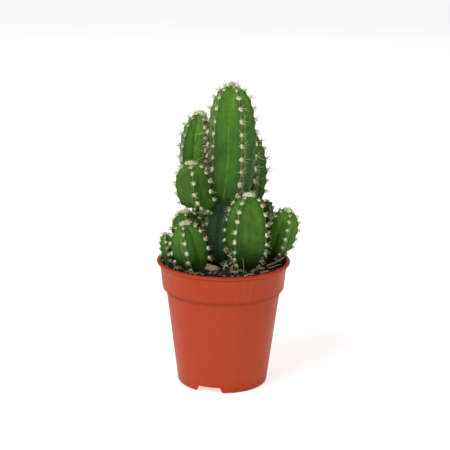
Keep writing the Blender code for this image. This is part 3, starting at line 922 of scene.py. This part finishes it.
@dataclass(frozen=True)
class Stem:
    """One ribbed stem with its skin, wool cushions and spines; in millimetres.

    The line runs up the middle of the stem.  Girth and age are values at shares of its length.
    """
    name: str
    line: tuple[Point, ...]
    radius: float
    ribs: int
    turn: float
    girth: Knots
    dome_start: float
    dome_power: float
    age: Knots
    pitch: float
    pad: float
    spine: float
    tuft: tuple[float, float]
    wool_tone: float
    seed: int
    start: float = 0.0
    valley: float = 0.69
    bulge: float = 0.050
    ring_step: float = 0.8
    scallop: float = 0.48
    wrinkled_to: float = 0.0
    # strength of the pale furrow line, partly a painted highlight on the furrows that face the front
    pale_line: float = 0.06
    crowds: tuple[tuple[float, float, float, float, float, int], ...] = ()
    bristles: tuple[float, float, int] = (0.0, 0.0, 0)
    shift: tuple[int, float] = (0, 0.0)

    def centre_line(self, count: int = 40) -> tuple[Array, Array, Array]:
        """A Catmull-Rom curve through the given points.

        Args:
            count: steps between two given points.

        Returns:
            Its positions, its directions and the share of its length at each.
        """
        given = np.array(self.line, dtype=float) * MM
        padded = np.vstack([2 * given[0] - given[1], given, 2 * given[-1] - given[-2]])
        t = np.linspace(0, 1, count, endpoint=False)[:, None]
        spans = [0.5 * (2 * b + (c - a) * t + (2 * a - 5 * b + 4 * c - d) * t**2
                        + (3 * b - a - 3 * c + d) * t**3)
                 for a, b, c, d in zip(padded, padded[1:], padded[2:], padded[3:])]
        line = np.vstack(spans + [given[-1:]])
        length = np.append(0, np.cumsum(np.linalg.norm(np.diff(line, axis=0), axis=1)))
        return line, np.gradient(line, axis=0), length / length[-1]

    @staticmethod
    def eased(share: Array, knots: Knots) -> Array:
        """Value along the stem, eased smoothly from knot to knot."""
        places, values = np.array(knots, dtype=float).T
        span = np.clip(np.searchsorted(places, share, side="right") - 1, 0, len(places) - 2)
        t = smooth((share - places[span]) / (places[span + 1] - places[span]))
        return values[span] * (1 - t) + values[span + 1] * t

    def outline(self, share: Array) -> Array:
        """Crest radius along the stem: its girth, closed by a rounded top."""
        rise = np.clip((share - self.dome_start) / (1 - self.dome_start), 0, 1)
        return self.radius * MM * self.eased(share, self.girth) * (1 - rise**self.dome_power) ** (
            1 / self.dome_power)

    def covers(self, points: Array, share_of_radius: float) -> Array:
        """Tell which points lie inside the stem, within a share of its crest radius."""
        line, _, share = self.centre_line(12)
        away = np.linalg.norm(points[:, None] - line, axis=-1)
        nearest = np.argmin(away - self.outline(share), axis=1)
        return away[np.arange(len(points)), nearest] < share_of_radius * self.outline(share)[nearest]

    def section(self) -> tuple[Array, Array, Array, Array]:
        """One cross-section: angle, relative radius, flank share and rib of every column.

        A flank runs from the crest to the furrow and swells outwards; the crest is rounded by
        replacing s with sqrt(s^2 + e^2) - e in the radial part only.
        """
        half, soft = np.pi / self.ribs, 0.055
        furrow = self.valley * np.array([np.cos(half), np.sin(half)])
        outward = unit(np.array([furrow[1], 1 - furrow[0]]))
        eased = (np.sqrt(FLANK**2 + soft**2) - soft) / (np.sqrt(1 + soft**2) - soft)
        swell = self.bulge * 4 * FLANK * (1 - FLANK) * (0.6 + 0.8 * FLANK)
        x = 1 + (furrow[0] - 1) * eased + outward[0] * swell
        y = furrow[1] * FLANK + outward[1] * swell
        angle, radius = np.arctan2(y, x), np.hypot(x, y)
        # the other flank mirrors it, from the furrow up to the next crest
        one_angle = np.concatenate([angle, [half], 2 * half - angle[:0:-1]])
        one_radius = np.concatenate([radius, [self.valley - 0.012], radius[:0:-1]])
        one_flank = np.concatenate([FLANK, [1.0], FLANK[:0:-1]])
        one_rib = np.repeat([0, 1], [len(FLANK) + 1, len(FLANK) - 1])
        ribs = np.arange(self.ribs)[:, None]
        angle = (2 * half * ribs + one_angle).ravel()
        # a rib that grew out of step takes its two flanks along
        off = (angle - 2 * half * self.shift[0] + np.pi) % TWO_PI - np.pi
        near = 0.5 * (1 + np.cos(np.pi * np.clip(off / (2 * half), -1, 1)))
        angle = angle + np.radians(self.turn) + np.radians(self.shift[1]) * near
        return (angle, np.tile(one_radius, self.ribs), np.tile(one_flank, self.ribs),
                ((ribs + one_rib) % self.ribs).ravel())

    def skin(self) -> tuple[Surface, Areoles]:
        """Sweep the section along the stem and find where its areoles sit.

        A point is centre + outline * radius * (sin a side + cos a front), and the crests wave in
        and out once for each areole.

        Returns:
            The closed skin and its areoles.
        """
        line, direction, share = self.centre_line()
        length = float(np.linalg.norm(np.diff(line, axis=0), axis=1).sum())
        rows = int((1 - self.start) * length / (self.ring_step * MM))
        # rings crowd towards the tip, where the outline bends most
        body = max(int(rows * (self.dome_start - self.start) / (1 - self.start)), 4)
        crown = np.sin(np.linspace(0, 1, int((rows - body) * 1.35) + 6)[1:] * np.pi / 2)
        steps = np.append(np.linspace(self.start, self.dome_start, body),
                          self.dome_start + (0.9985 - self.dome_start) * crown)
        centre, along = (stacked(*(np.interp(steps, share, part[:, k]) for k in range(3)))
                         for part in (line, direction))
        along = unit(along)
        side = unit(np.array([1.0, 0, 0]) - along[:, :1] * along)
        angle, radius, flank, rib = self.section()
        outline = self.outline(steps)
        # each rib wanders a little from side to side
        sway = stacked(*(np.interp(steps, np.linspace(0, 1, 9), np.random.default_rng(self.seed + k)
                                   .normal(0, 0.022, 9)) for k in range(self.ribs)))
        turned = angle + sway[:, rib] * (1 - flank) ** 0.7
        around = spokes(turned, np.cross(side, along)[:, None], side[:, None])
        reach = outline[:, None] * radius
        points = centre[:, None] + reach[..., None] * around
        gone = np.linalg.norm(np.diff(points[:, flank == 0], axis=0), axis=-1)
        from_tip = np.vstack([np.cumsum(gone[::-1], axis=0)[::-1], np.zeros(self.ribs)]) + reach[-1, 0]
        stations = self.stations(float(from_tip.max()))
        phase = stacked(*(np.interp(from_tip[:, k], stations[k], np.arange(len(stations[k])))
                          for k in range(self.ribs)))
        # the swelling stands just below each areole
        calm = smooth(outline / (0.55 * self.radius * MM))[:, None]
        puff = self.scallop * np.cos(TWO_PI * (phase - 0.16))[:, rib] * np.exp(-((flank / 0.24) ** 2))
        dents = layered_noise(points / (7 * MM), self.seed * 7, 3) * 0.32
        old = smooth((self.wrinkled_to - steps) / 0.08)[:, None] if self.wrinkled_to else 0.0
        creases = layered_noise(points / np.array([6, 6, 1.7]) / MM, self.seed * 5 + 3, 3) * 0.42 * old
        points = points + MM * ((puff + dents) * calm + creases)[..., None] * around
        rows, columns = points.shape[:2]
        ends = np.stack([centre[0], centre[-1] + along[-1] * outline[-1] * 0.3])
        age = self.eased(steps, self.age)
        # the pale furrow line is painted palest on the furrows that face the front: a painted highlight over
        # the groove's shade
        pale = self.pale_line * (0.15 + 0.85 * smooth((np.cos(angle) - 0.60) / 0.25))
        values = {"crest": np.append(np.tile(1 - flank, rows), [0.5, 0.5]),
                  "share": np.append(np.repeat(age, columns), age[[0, -1]]),
                  "pale_line": np.append(np.tile(pale, rows), [0.0, 0.0])}
        surface = Surface(np.vstack([points.reshape(-1, 3), ends]), *tube_faces(rows, columns), values)
        return surface, self.find_areoles(points[:, flank == 0], from_tip, stations, centre)

    def stations(self, reach: float) -> list[Array]:
        """Distances from the tip of each rib's areoles: close at the tip, then a pitch apart."""
        places = []
        for rib in range(self.ribs):
            gaps = self.pitch * MM * (0.60 + 0.40 * smooth(np.arange(60) / 3.0))
            gaps *= np.random.default_rng(self.seed * 31 + rib).uniform(0.93, 1.07, 60)
            place = self.pitch * MM * (0.50 if rib % 2 else 0.26) + np.append(0, np.cumsum(gaps))
            places.append(place[place < reach + self.pitch * MM])
        return places

    def find_areoles(self, crest: Array, from_tip: Array, stations: list[Array], centre: Array) -> Areoles:
        """Place the areoles on the crest lines, thin bristles on the oldest wood, and the crowds.

        Args:
            crest: rings x ribs x 3, the finished crest lines.
            from_tip: distance from the tip along them.
            stations: each rib's distances.
            centre: the centre line at the rings.

        Returns:
            Their places, and frames of outward normal and direction to the tip.
        """
        found = []
        low, high, count = self.bristles
        for rib in range(self.ribs):
            there = stations[rib][stations[rib] < from_tip[0, rib]]
            grown = smooth(there / (self.pitch * MM * 2.2)) * 0.35 + 0.65
            kinds = [(there, self.pad * MM * grown, grown)]
            if count:
                shares = np.random.default_rng(self.seed * 53 + rib).uniform(low, high, count)
                kinds.append((from_tip[0, rib] * (1 - shares), np.full(count, 0.25 * MM),
                              np.full(count, 0.62)))
            for there, size, reach in kinds:
                place, upward, middle = (
                    stacked(*(np.interp(there, from_tip[::-1, rib], part[::-1, k]) for k in range(3)))
                    for part in (crest[:, rib], np.gradient(crest[:, rib], axis=0), centre))
                upward, outward = unit(upward), place - middle
                normal = unit(outward - (outward * upward).sum(-1, keepdims=True) * upward)
                found.append((place, normal, upward, size, reach))
        found += [self.crowd(centre, *crowd) for crowd in self.crowds]
        return Areoles(*(np.concatenate(parts) for parts in zip(*found)))

    def crowd(self, centre: Array, x: float, y: float, z: float, wide: float, tall: float,
              count: int) -> tuple[Array, ...]:
        """A crowd of small cushions low on the stem.

        Args:
            centre: the stem's centre line.
            x: its middle to the right.
            y: its middle to the rear.
            z: its middle upwards.
            wide: its spread to the sides.
            tall: its spread up and down.
            count: how many cushions.

        Returns:
            Places, normals, upward directions, sizes and reaches.
        """
        rng = np.random.default_rng(self.seed * 59 + int(z))
        place = (np.array([x, y, z]) + rng.normal(size=(count, 3)) * np.array([wide, wide, tall])) * MM
        nearest = np.argmin(np.linalg.norm(place[:, None] - centre, axis=-1), axis=1)
        outward = (place - centre[nearest]) * np.array([1.0, 1.0, 0.0])
        return (place, unit(outward), np.tile([0.0, 0.0, 1.0], (count, 1)),
                rng.uniform(0.55, 1.0, count) * MM, np.full(count, 0.12))

    def wool(self, areoles: Areoles, tip: Array, axis: Array) -> Surface:
        """Cushions of short wool on the areoles and the tuft that closes the tip.

        Args:
            areoles: where the cushions go.
            tip: the stem's end.
            axis: the direction it grows in there.

        Returns:
            One surface of pads and strands.
        """
        rng = np.random.default_rng(self.seed * 101)
        count, strands = len(areoles.place), 20
        upward, across, normal = areoles.frames()
        shade = np.clip(self.wool_tone + rng.normal(0, 0.13, count), 0, 1) * (areoles.reach > 0.2)
        size = (areoles.size * rng.uniform(0.85, 1.15, count))[:, None]
        half = size * np.array([0.96, 0.80, 0.52]) * rng.uniform(0.85, 1.15, (count, 3))
        half *= rng.uniform(0.82, 1.18, (count, 3))
        pads = lumps(areoles.place + areoles.normal * size * 0.10, half,
                     np.concatenate([upward, -across, normal], axis=1), self.seed, shade, 0.30, 3, 8)
        turn, far = disc(rng, (count, strands))
        lateral = spokes(turn, upward, across) * far[..., None]
        lift = normal * np.sqrt(1.1 - far**2)[..., None]
        roots = areoles.place[:, None] + size[..., None] * (lateral * 0.70 + lift * 0.34)
        reach = unit(lateral * 1.2 + lift + rng.normal(0, 0.40, roots.shape))
        reach = reach * (size * rng.uniform(0.25, 0.80, (count, strands)))[..., None]
        thick = size * rng.uniform(0.05, 0.09, (count, strands))
        bright = np.clip(shade[:, None] - 0.20 + rng.normal(0, 0.16, thick.shape), 0, 1)
        fuzz = spikes(roots, reach, thick, bright, rng.normal(0, 0.12 * MM, (count * strands, 3)))
        parts = [pads, fuzz, *self.tuft_wool(rng, tip, axis)]
        for part in parts:
            heart = smooth((part.values["along"] - 0.80) / 0.20)
            part.values["heart"] = heart if part is pads else 0.0 * heart
        return Surface.joined(parts)

    def tuft_wool(self, rng: np.random.Generator, tip: Array, axis: Array) -> list[Surface]:
        """The tuft at the tip: a heap of small woolly lumps with longer strands through them."""
        wide, tall = self.tuft[0] * MM, self.tuft[1] * MM
        heap, count = 30, 110
        first = unit(np.cross(axis, [0, 1.0, 0]))
        second = np.cross(axis, first)
        turn, far = disc(rng, heap)
        flat = spokes(turn, first, second) * far[:, None]
        rise = (1 - far**2)[:, None] * rng.uniform(0.2, 0.8, (heap, 1))
        size = wide * rng.uniform(0.13, 0.27, (heap, 1)) * rng.uniform(0.75, 1.2, (heap, 3))
        shade = np.clip(self.wool_tone + rng.normal(0.05, 0.22, heap), 0, 1)
        knots = lumps(tip + flat * wide * 0.75 + axis * (rise * tall - 0.3 * MM), size,
                      random_axes(rng, heap), self.seed + 9, shade, 0.2, 3, 7)
        turn, far = disc(rng, count)
        flat = spokes(turn, first, second) * far[:, None]
        roots = tip + flat * wide * 0.85 + axis * ((1 - far**2)[:, None] * tall * 0.35)
        reach = unit(flat * 0.9 + axis + rng.normal(0, 0.22, (count, 3)))
        reach = reach * tall * rng.uniform(0.45, 1.05, (count, 1))
        shade = np.clip(self.wool_tone + rng.normal(0, 0.16, count), 0, 1)
        return [knots, spikes(roots, reach, rng.uniform(0.07, 0.13, count) * MM, shade,
                              rng.normal(0, 0.25 * MM, (count, 3)))]

    def spines(self, areoles: Areoles, tip: Array, axis: Array) -> Surface:
        """A star of spines on every areole and a few upright ones at the tip."""
        rng = np.random.default_rng(self.seed * 211)
        count, rays, crown = len(areoles.place), 8, 16
        upward, across, normal = areoles.frames()
        turn = TWO_PI * (np.arange(rays) + rng.uniform(-0.35, 0.35, (count, rays))) / rays
        lift = rng.uniform(0.55, 1.5, (count, rays))
        lateral = spokes(turn, upward, across)
        heading = unit(lateral + lift[..., None] * normal)
        length = self.spine * MM * rng.triangular(0.35, 0.60, 1.25, (count, rays))
        # the first ray stands out as the central spine
        heading[:, :1] = unit(normal + upward * rng.normal(0, 0.35, (count, 1, 1))
                              + across * rng.normal(0, 0.3, (count, 1, 1)))
        length[:, 0] *= 1.25
        length *= areoles.reach[:, None]
        roots = areoles.place[:, None] + areoles.size[:, None, None] * (lateral * 0.25 + 0.30 * normal)
        thick = rng.uniform(0.14, 0.21, (count, rays)) * MM
        # the young stems' spines are paler
        tone = np.clip(rng.normal(1.15 - 2.1 * self.wool_tone, 0.25, (count, rays)), 0, 1)
        stars = spikes(roots, heading * length[..., None], thick, tone,
                       rng.normal(0, 0.25 * MM, (count * rays, 3)))
        reach = unit(axis + rng.normal(0, 0.50, (crown, 3))) * self.tuft[1] * MM
        reach = reach * rng.uniform(0.7, 1.25, (crown, 1))
        top = spikes(tip + rng.normal(0, 0.28 * self.tuft[0] * MM, (crown, 3)) * np.array([1, 1, 0.2]), reach,
                     rng.uniform(0.11, 0.17, crown) * MM, rng.uniform(0.3, 1, crown),
                     rng.normal(0, 0.3 * MM, (crown, 3)))
        return Surface.joined([stars, top])

    def build(self, others: tuple["Stem", ...], soil: Soil, skin: Material, wool: Material,
              spine: Material) -> None:
        """Make the stem's three pieces, with no areole in the soil or inside a neighbour."""
        surface, areoles = self.skin()
        place, tip = areoles.place, surface.points[-1]
        free = place[:, 2] > soil.height(place[:, 0], place[:, 1]) + 0.5 * MM
        for other in others:
            if other.name != self.name:
                free &= ~other.covers(place, 0.86)
        areoles, axis = areoles.kept(free), unit(self.centre_line()[1][-1])
        surface.make(self.name + "_skin", skin, "cactus_skin", self.name)
        self.wool(areoles, tip, axis).make(self.name + "_wool", wool, "areole_wool")
        self.spines(areoles, tip, axis).make(self.name + "_spines", spine, "spine")


# ------------------------------------------------------------------ litter

def stone(soil: Soil, place: Point, size: Point, turn: float, seed: int, rough: float = 0.22,
          grain: Point = (1.7, 1.7, 1.7), rings: int = 22, columns: int = 34) -> Surface:
    """A rough closed lump bedded in the soil.

    Its radius is 1 + rough * noise(direction * grain) at every point of a globe, before the three
    sizes stretch it.

    Args:
        soil: what it lies on.
        place: x, y and lift above the soil, millimetres.
        size: its three diameters, millimetres.
        turn: degrees about the upright axis.
        seed: picks its form.
        rough: depth of the unevenness.
        grain: how fast the noise changes along each axis.
        rings: rings between the poles.
        columns: points round each ring.

    Returns:
        The lump, with the value "tone".
    """
    ball = globe(rings, columns)
    coarse = layered_noise(ball * np.array(grain) + 7.3, seed, 3)
    fine = layered_noise(ball * np.array(grain) * 4 + 3.1, seed + 5, 3)
    # flats and edges come from folding the coarse noise
    swell = 1 + rough * (np.abs(coarse) * 1.4 - 0.3) + rough * 0.35 * fine
    local = ball * swell[:, None] * np.array(size) * MM / 2
    c, s = np.cos(np.radians(turn)), np.sin(np.radians(turn))
    turned = local @ np.array([[c, s, 0], [-s, c, 0], [0, 0, 1]])
    x, y, lift = (value * MM for value in place)
    ground = float(soil.height(np.array([x]), np.array([y]))[0])
    return Surface(turned + np.array([x, y, ground + lift]), *tube_faces(rings, columns),
                   {"tone": np.clip(0.5 + 0.55 * coarse + 0.3 * fine, 0, 1)})


def strand(soil: Soil, points: tuple[Point, ...], radius: float, seed: int, taper: float = 0.35,
           tone: float = 0.5) -> Surface:
    """A thin woody strand through points given as x, y and lift above the soil, in millimetres.

    Args:
        soil: what it lies on.
        points: the places it passes through.
        radius: its radius at the thick end, millimetres.
        seed: picks its small bends.
        taper: share of the radius lost by the far end.
        tone: its colour value.

    Returns:
        The strand as a closed tube.
    """
    sides = 9
    knots = np.array(points, float) * MM
    knots[:, 2] += soil.height(knots[:, 0], knots[:, 1])
    stations = max(10, 6 * len(knots))
    t = np.linspace(0, len(knots) - 1, stations)
    line = stacked(*(np.interp(t, np.arange(len(knots)), knots[:, k]) for k in range(3)))
    # three passes of averaging round the corners
    for _ in range(3):
        line[1:-1] = (line[:-2] + 2 * line[1:-1] + line[2:]) / 4
    bend = layered_noise(line / (3 * MM), seed, 2)[:, None] * np.array([0.3, 0.4, 0.25]) * radius * MM
    share = np.linspace(0, 1, stations)
    radii = radius * MM * (1 - taper * share) * (1 + 0.16 * layered_noise(line / (1.3 * MM), seed + 3, 2))
    radii[[0, -1]] *= 0.55
    return tubes((line + bend)[None], radii[None], sides, np.array([tone]))


@dataclass
class Litter:
    """The larger things that lie on the soil; in millimetres.

    A splinter is its points, radius, seed and tone, and a rootlet its points, radius, seed and taper.
    """
    pebble: Point = (5.6, 5.0, 4.0)
    chip: Point = (11.5, 7.0, 6.0)
    grit: Point = (3.6, 3.0, 2.6)
    twig_radius: float = 0.95
    sliver_radius: float = 0.9
    splinters: tuple = (
        (((16, -31, 1.3), (20.5, -28.6, 2.1), (25.5, -26.0, 1.6)), 0.70, 23, 0.95),
        (((26, -18, 1.6), (31, -13, 2.4), (35.5, -9, 2.0)), 1.00, 29, 0.7),
        (((29, -23, 1.5), (35.5, -18.5, 2.2)), 0.55, 31, 0.95),
        (((5, -24, 1.2), (9.5, -22.8, 1.7), (13, -23.4, 1.2)), 0.50, 37, 0.85),
        (((-27, -24, 1.1), (-22.5, -26, 1.5), (-19, -25.2, 1.1)), 0.50, 41, 0.3),
        (((35, -9, 1.6), (40.5, -5, 2.4), (46, 1.5, 3.0)), 0.55, 43, 0.95),
        (((-14, 40, 1.2), (-6, 42, 1.6), (1, 41, 1.2)), 0.60, 47, 0.6),
        (((33, 33, 1.2), (29, 37, 1.8), (24, 39, 1.3)), 0.45, 53, 0.4))
    rootlets: tuple = (
        (((0.6, -19.2, 0.8), (0.2, -18.6, 3.2), (0.5, -18.0, 5.2)), 0.30, 61, 0.3),
        (((0.3, -18.5, 4.0), (-1.8, -18.4, 5.4), (-2.9, -18.6, 6.6)), 0.24, 67, 0.4),
        (((0.5, -18.1, 4.8), (1.6, -17.8, 7.4), (2.6, -17.6, 8.6)), 0.24, 71, 0.4),
        (((15.6, -27.5, 0.4), (15.6, -27.3, 7.0), (14.8, -27.0, 14.0)), 0.24, 73, 0.5),
        (((-41, -8, 1.0), (-38, -13, 1.8), (-39.5, -16, 1.2)), 0.22, 79, 0.4))

    def build(self, soil: Soil, pale_stone: Material, bark: Material, wood: Material, root: Material) -> None:
        """Make the stones, the chip and the strands."""
        stone(soil, (-35.2, -10.6, 1.5), self.pebble, 20, 3).make(
            "grey_pebble_stone", pale_stone, "pebble", "grey_pebble")
        stone(soil, (-8.8, -19.3, 2.0), self.chip, -20, 5, 0.34, (1.3, 3.4, 3.8), 30, 46).make(
            "bark_chip_piece", bark, "bark", "bark_chip")
        stone(soil, (23.5, -17.5, 0.8), self.grit, 10, 8).make(
            "pale_grit_stone", pale_stone, "pebble", "pale_grit")
        strand(soil, ((26, -10, 0.9), (32, -6.4, 1.3), (40, -1, 3.4), (47.8, 5.6, 7.6)), self.twig_radius,
               13, 0.2, 0.95).make("long_twig_piece", wood, "wood_fibre", "long_twig")
        strand(soil, ((-0.5, -14, 1.0), (3.5, -13.2, 1.3), (7.5, -15.4, 1.0)), self.sliver_radius, 17,
               tone=0.75).make("wood_sliver_piece", wood, "wood_fibre", "wood_sliver")
        Surface.joined([strand(soil, *given, tone=tone) for *given, tone in self.splinters]).make(
            "wood_splinters", wood, "wood_fibre")
        Surface.joined([strand(soil, *given) for given in self.rootlets]).make(
            "pale_rootlets", root, "wood_fibre")


# ------------------------------------------------------------------ stage

@dataclass
class Stage:
    """The floor, the light and the camera; in metres."""
    floor_size: float = 14.0
    target: Point = (-2.38 * MM, 0.0, 127.12 * MM)
    distance: float = 1150.8 * MM
    pitch: float = 14.74
    roll: float = -0.74
    lens: float = 117.59
    world: float = 0.32
    backdrop: float = 1.0

    def floor(self) -> None:
        """Lay a wide floor in rings that grow with distance."""
        reach = self.floor_size * np.linspace(0.02, 1, 12)[:, None] ** 2
        here = np.arange(48)
        turn = TWO_PI * here / len(here)
        ring = stacked(reach * np.cos(turn), reach * np.sin(turn), 0.0)
        points = np.vstack([ring.reshape(-1, 3), [[0, 0, 0]]])
        _, quads = tube_faces(len(reach), len(here))
        centre = stacked(here, (here + 1) % len(here), len(points) - 1)
        mesh = bpy.data.meshes.new("floor")
        mesh.from_pydata(points.tolist(), [], quads[:, ::-1].tolist() + centre.tolist())
        mesh.materials.append(FloorFinish("floor_white").make())
        floor = bpy.data.objects.new("floor", mesh)
        bpy.context.scene.collection.objects.link(floor)

    def lamp(self, name: str, place: Point, size: float, power: float, colour: Colour) -> None:
        """Hang a square soft light that faces the plant.

        Args:
            name: its name.
            place: where it hangs.
            size: its width.
            power: its power, watts.
            colour: its light values.
        """
        light = bpy.data.lights.new(name, "AREA")
        light.shape, light.size, light.energy, light.color = "SQUARE", size, power, colour
        holder = bpy.data.objects.new(name, light)
        holder.location = place
        holder.rotation_euler = (Vector(self.target) - Vector(place)).to_track_quat("-Z", "Y").to_euler()
        bpy.context.scene.collection.objects.link(holder)

    def camera(self) -> None:
        """Stand the camera in front, looking down by pitch and rolled a little."""
        pitch, roll = np.radians(self.pitch), np.radians(self.roll)
        back = Vector((0, -np.cos(pitch), np.sin(pitch)))
        right, up = Vector((1, 0, 0)), Vector((0, np.sin(pitch), np.cos(pitch)))
        across = right * np.cos(roll) - up * np.sin(roll)
        over = right * np.sin(roll) + up * np.cos(roll)
        lens = bpy.data.cameras.new("camera")
        lens.lens, lens.sensor_width = self.lens, 36.0
        lens.clip_start, lens.clip_end = 0.01, 60.0
        camera = bpy.data.objects.new("camera", lens)
        place = Vector(self.target) + back * self.distance
        camera.matrix_world = Matrix.Translation(place) @ Matrix((across, over, back)).transposed().to_4x4()
        bpy.context.scene.collection.objects.link(camera)
        bpy.context.scene.camera = camera

    def build(self) -> None:
        """Set everything up."""
        self.floor()
        self.lamp("key_light", (-1.05, -1.10, 1.40), 1.1, 17.2, (1.0, 0.99, 0.97))
        self.lamp("fill_light", (1.3, -0.9, 0.7), 1.1, 0.9, (1.0, 1.0, 0.97))
        self.lamp("rear_light", (0.5, 1.5, 1.2), 1.0, 4.0, (1.0, 1.0, 1.0))
        world = bpy.data.worlds.new("studio")
        world.use_nodes = True
        nodes = Nodes(world.node_tree)
        # the backdrop is seen whiter than the light it gives
        seen = nodes.add("LightPath").outputs["Is Camera Ray"]
        nodes.dress(world.node_tree.nodes["Background"], Color=(1.0, 1.0, 1.0, 1.0),
                    Strength=nodes.span(seen, 0.0, 1.0, self.world, self.backdrop))
        bpy.context.scene.world = world
        bpy.context.scene.view_settings.view_transform = "Standard"
        self.camera()


# ------------------------------------------------------------------ the plant

ROOTED = ((0.0, 0.50), (0.45, 1.0), (1.0, 1.0))

STEMS = (
    Stem("main_stem", ((-3.6, 9, 82), (-3.8, 9, 116), (0.4, 9, 143), (4.8, 9, 176), (4.7, 9, 235.5)),
         19.0, 5, 25, ((0, 0.68), (0.30, 0.75), (0.39, 0.52), (0.455, 0.93), (0.53, 1), (1, 1)), 0.71, 2.45,
         age=((0.0, 0.0), (0.38, 0.05), (0.46, 0.42), (0.7, 0.60), (1.0, 0.92)), pitch=9.7, pad=1.85,
         spine=8.6, tuft=(2.8, 3.0), wool_tone=0.34, seed=3, wrinkled_to=0.42, pale_line=0.50,
         bristles=(0.07, 0.36, 7), shift=(3, 12.0)),
    Stem("left_rear_stem", ((-15, 31.2, 82), (-18.4, 31.4, 138), (-22.1, 31.4, 178), (-20.1, 30.8, 209.6)),
         16.6, 5, 25, ((0, 0.50), (0.38, 0.58), (0.60, 1), (1, 1)), 0.66, 2.2,
         age=((0.0, 0.0), (0.4, 0.1), (0.6, 0.55), (1.0, 0.85)), pitch=9.3, pad=1.6, spine=7.8,
         tuft=(5.0, 2.4), wool_tone=0.16, seed=5, wrinkled_to=0.45, pale_line=0.85),
    Stem("right_rear_stem", ((20, 30.4, 82), (20.7, 30.4, 140), (21.2, 30.4, 168), (20.3, 30.4, 194)),
         12.4, 5, 12, ((0, 0.58), (0.40, 0.66), (0.70, 1), (1, 1)), 0.68, 2.3,
         age=((0.0, 0.0), (0.4, 0.1), (0.6, 0.45), (1.0, 0.70)), pitch=9.0, pad=1.55, spine=7.4,
         tuft=(3.2, 2.0), wool_tone=0.36, seed=7, wrinkled_to=0.45),
    Stem("left_upper_offset", ((-3, 3, 147), (-14, -2.5, 147.2), (-24.2, -8.3, 157), (-26.9, -8.5, 177.5)),
         13.7, 5, 8, ((0, 0.40), (0.30, 0.70), (0.53, 1), (1, 1)), 0.60, 2.4,
         age=((0.0, 0.30), (0.3, 0.5), (1.0, 0.80)), pitch=8.3, pad=1.75, spine=4.8, tuft=(4.2, 2.0),
         wool_tone=0.27, start=0.16, seed=11),
    Stem("left_middle_offset", ((-25, 12, 82), (-28.6, 11.8, 111), (-31.2, 10.8, 134.2)),
         13.1, 5, 10, ((0, 0.50), (0.50, 0.95), (0.65, 1), (1, 1)), 0.64, 2.7,
         age=((0.0, 0.2), (0.5, 0.45), (1.0, 0.65)), pitch=7.4, pad=1.7, spine=4.2, tuft=(4.0, 1.8),
         wool_tone=0.26, seed=13),
    Stem("left_front_stem", ((-20.4, -5, 82), (-22.6, -10.5, 98), (-26.2, -14, 114), (-30.7, -15, 131.5)),
         14.8, 5, -8, ((0, 0.58), (0.22, 0.66), (0.55, 1), (1, 1)), 0.58, 2.3,
         age=((0.0, 0.42), (0.4, 0.58), (1.0, 0.74)), pitch=8.0, pad=1.70, spine=4.4, tuft=(4.4, 2.0),
         wool_tone=0.22, seed=17),
    Stem("far_left_offset", ((-38.6, 3.5, 82), (-42.5, 3.2, 101), (-46.4, 3, 118.4)),
         6.6, 5, 0, ROOTED, 0.55, 2.4, age=((0.0, 0.3), (1.0, 0.75)), pitch=5.2, pad=1.25, spine=3.0,
         tuft=(1.9, 1.2), wool_tone=0.26, seed=19),
    Stem("right_front_stem", ((17.4, -0.5, 82), (16.8, -9.2, 104), (17.1, -13.7, 126), (19, -12, 154)),
         17.6, 4, -28, ((0, 0.46), (0.14, 0.50), (0.50, 1), (1, 1)), 0.54, 2.3,
         age=((0.0, 0.42), (0.5, 0.60), (1.0, 0.84)), pitch=8.0, pad=1.75, spine=4.4, tuft=(5.2, 1.8),
         wool_tone=0.20, seed=23,
         crowds=((6.6, -13.0, 107.4, 1.8, 2.4, 20), (4.2, -14.5, 98.0, 2.0, 1.5, 14),
                 (31.0, -10.0, 104.8, 1.6, 2.8, 22), (28.5, -14.5, 97.5, 1.3, 1.2, 6))),
    Stem("right_small_offset", ((31.5, 25.5, 82), (33, 25, 113), (34.3, 23.2, 141.0)),
         6.8, 4, 20, ROOTED, 0.65, 2.6, age=((0.0, 0.0), (0.6, 0.2), (1.0, 0.42)), pitch=7.6, pad=1.0,
         spine=2.6, tuft=(1.9, 1.2), wool_tone=0.40, seed=29),
    Stem("right_leaning_stem", ((36.5, 15.5, 82), (40.0, 11, 102), (45.2, 5.4, 120), (50.0, 2.2, 138.8)),
         12.2, 5, 10, ((0, 0.42), (0.22, 0.48), (0.55, 1), (1, 1)), 0.60, 2.8,
         age=((0.0, 0.35), (0.5, 0.58), (1.0, 0.80)), pitch=7.8, pad=1.5, spine=3.4, tuft=(4.0, 1.6),
         wool_tone=0.28, seed=31),
)


def main() -> None:
    """Build the stage, then every piece of the plant and its pot."""
    logging.basicConfig(level=logging.INFO, format="%(name)s: %(message)s")
    Stage().build()
    pot, soil = Pot(), Soil()
    pot.build(PlasticFinish("pot_terracotta").make())
    peat = LooseFinish("peat", (9, 7, 5), (50, 37, 26), (190, 164, 130), cloud_share=0.34).make()
    wood = LooseFinish("dry_wood", (84, 58, 40), (190, 146, 110), (244, 222, 190),
                       roughness=(0.6, 0.9), stretch=(0.4, 0.4, 0.4)).make()
    grit = LooseFinish("grit_stone", (84, 72, 56), (150, 136, 112), (236, 228, 206)).make()
    grey = LooseFinish("pale_stone", (92, 84, 74), (150, 140, 126), (204, 196, 180),
                       cloud_scale=420.0).make()
    bark = LooseFinish("bark_chip", (92, 74, 58), (184, 162, 136), (240, 226, 200), cloud_scale=420.0,
                       stretch=(0.5, 1.6, 1.6), bump_depth=0.0008).make()
    rootlet = LooseFinish("rootlet", (150, 140, 122), (206, 200, 184), (236, 232, 220)).make()
    soil.build(pot, STEMS, peat, wood, grit)
    Litter().build(soil, grey, bark, wood, rootlet)
    skin = SkinFinish("stem_skin").make()
    wool = WoolFinish("areole_wool").make()
    spine = SpineFinish("spine").make()
    for stem in STEMS:
        stem.build(STEMS, soil, skin, wool, spine)


if __name__ == "__main__":
    main()
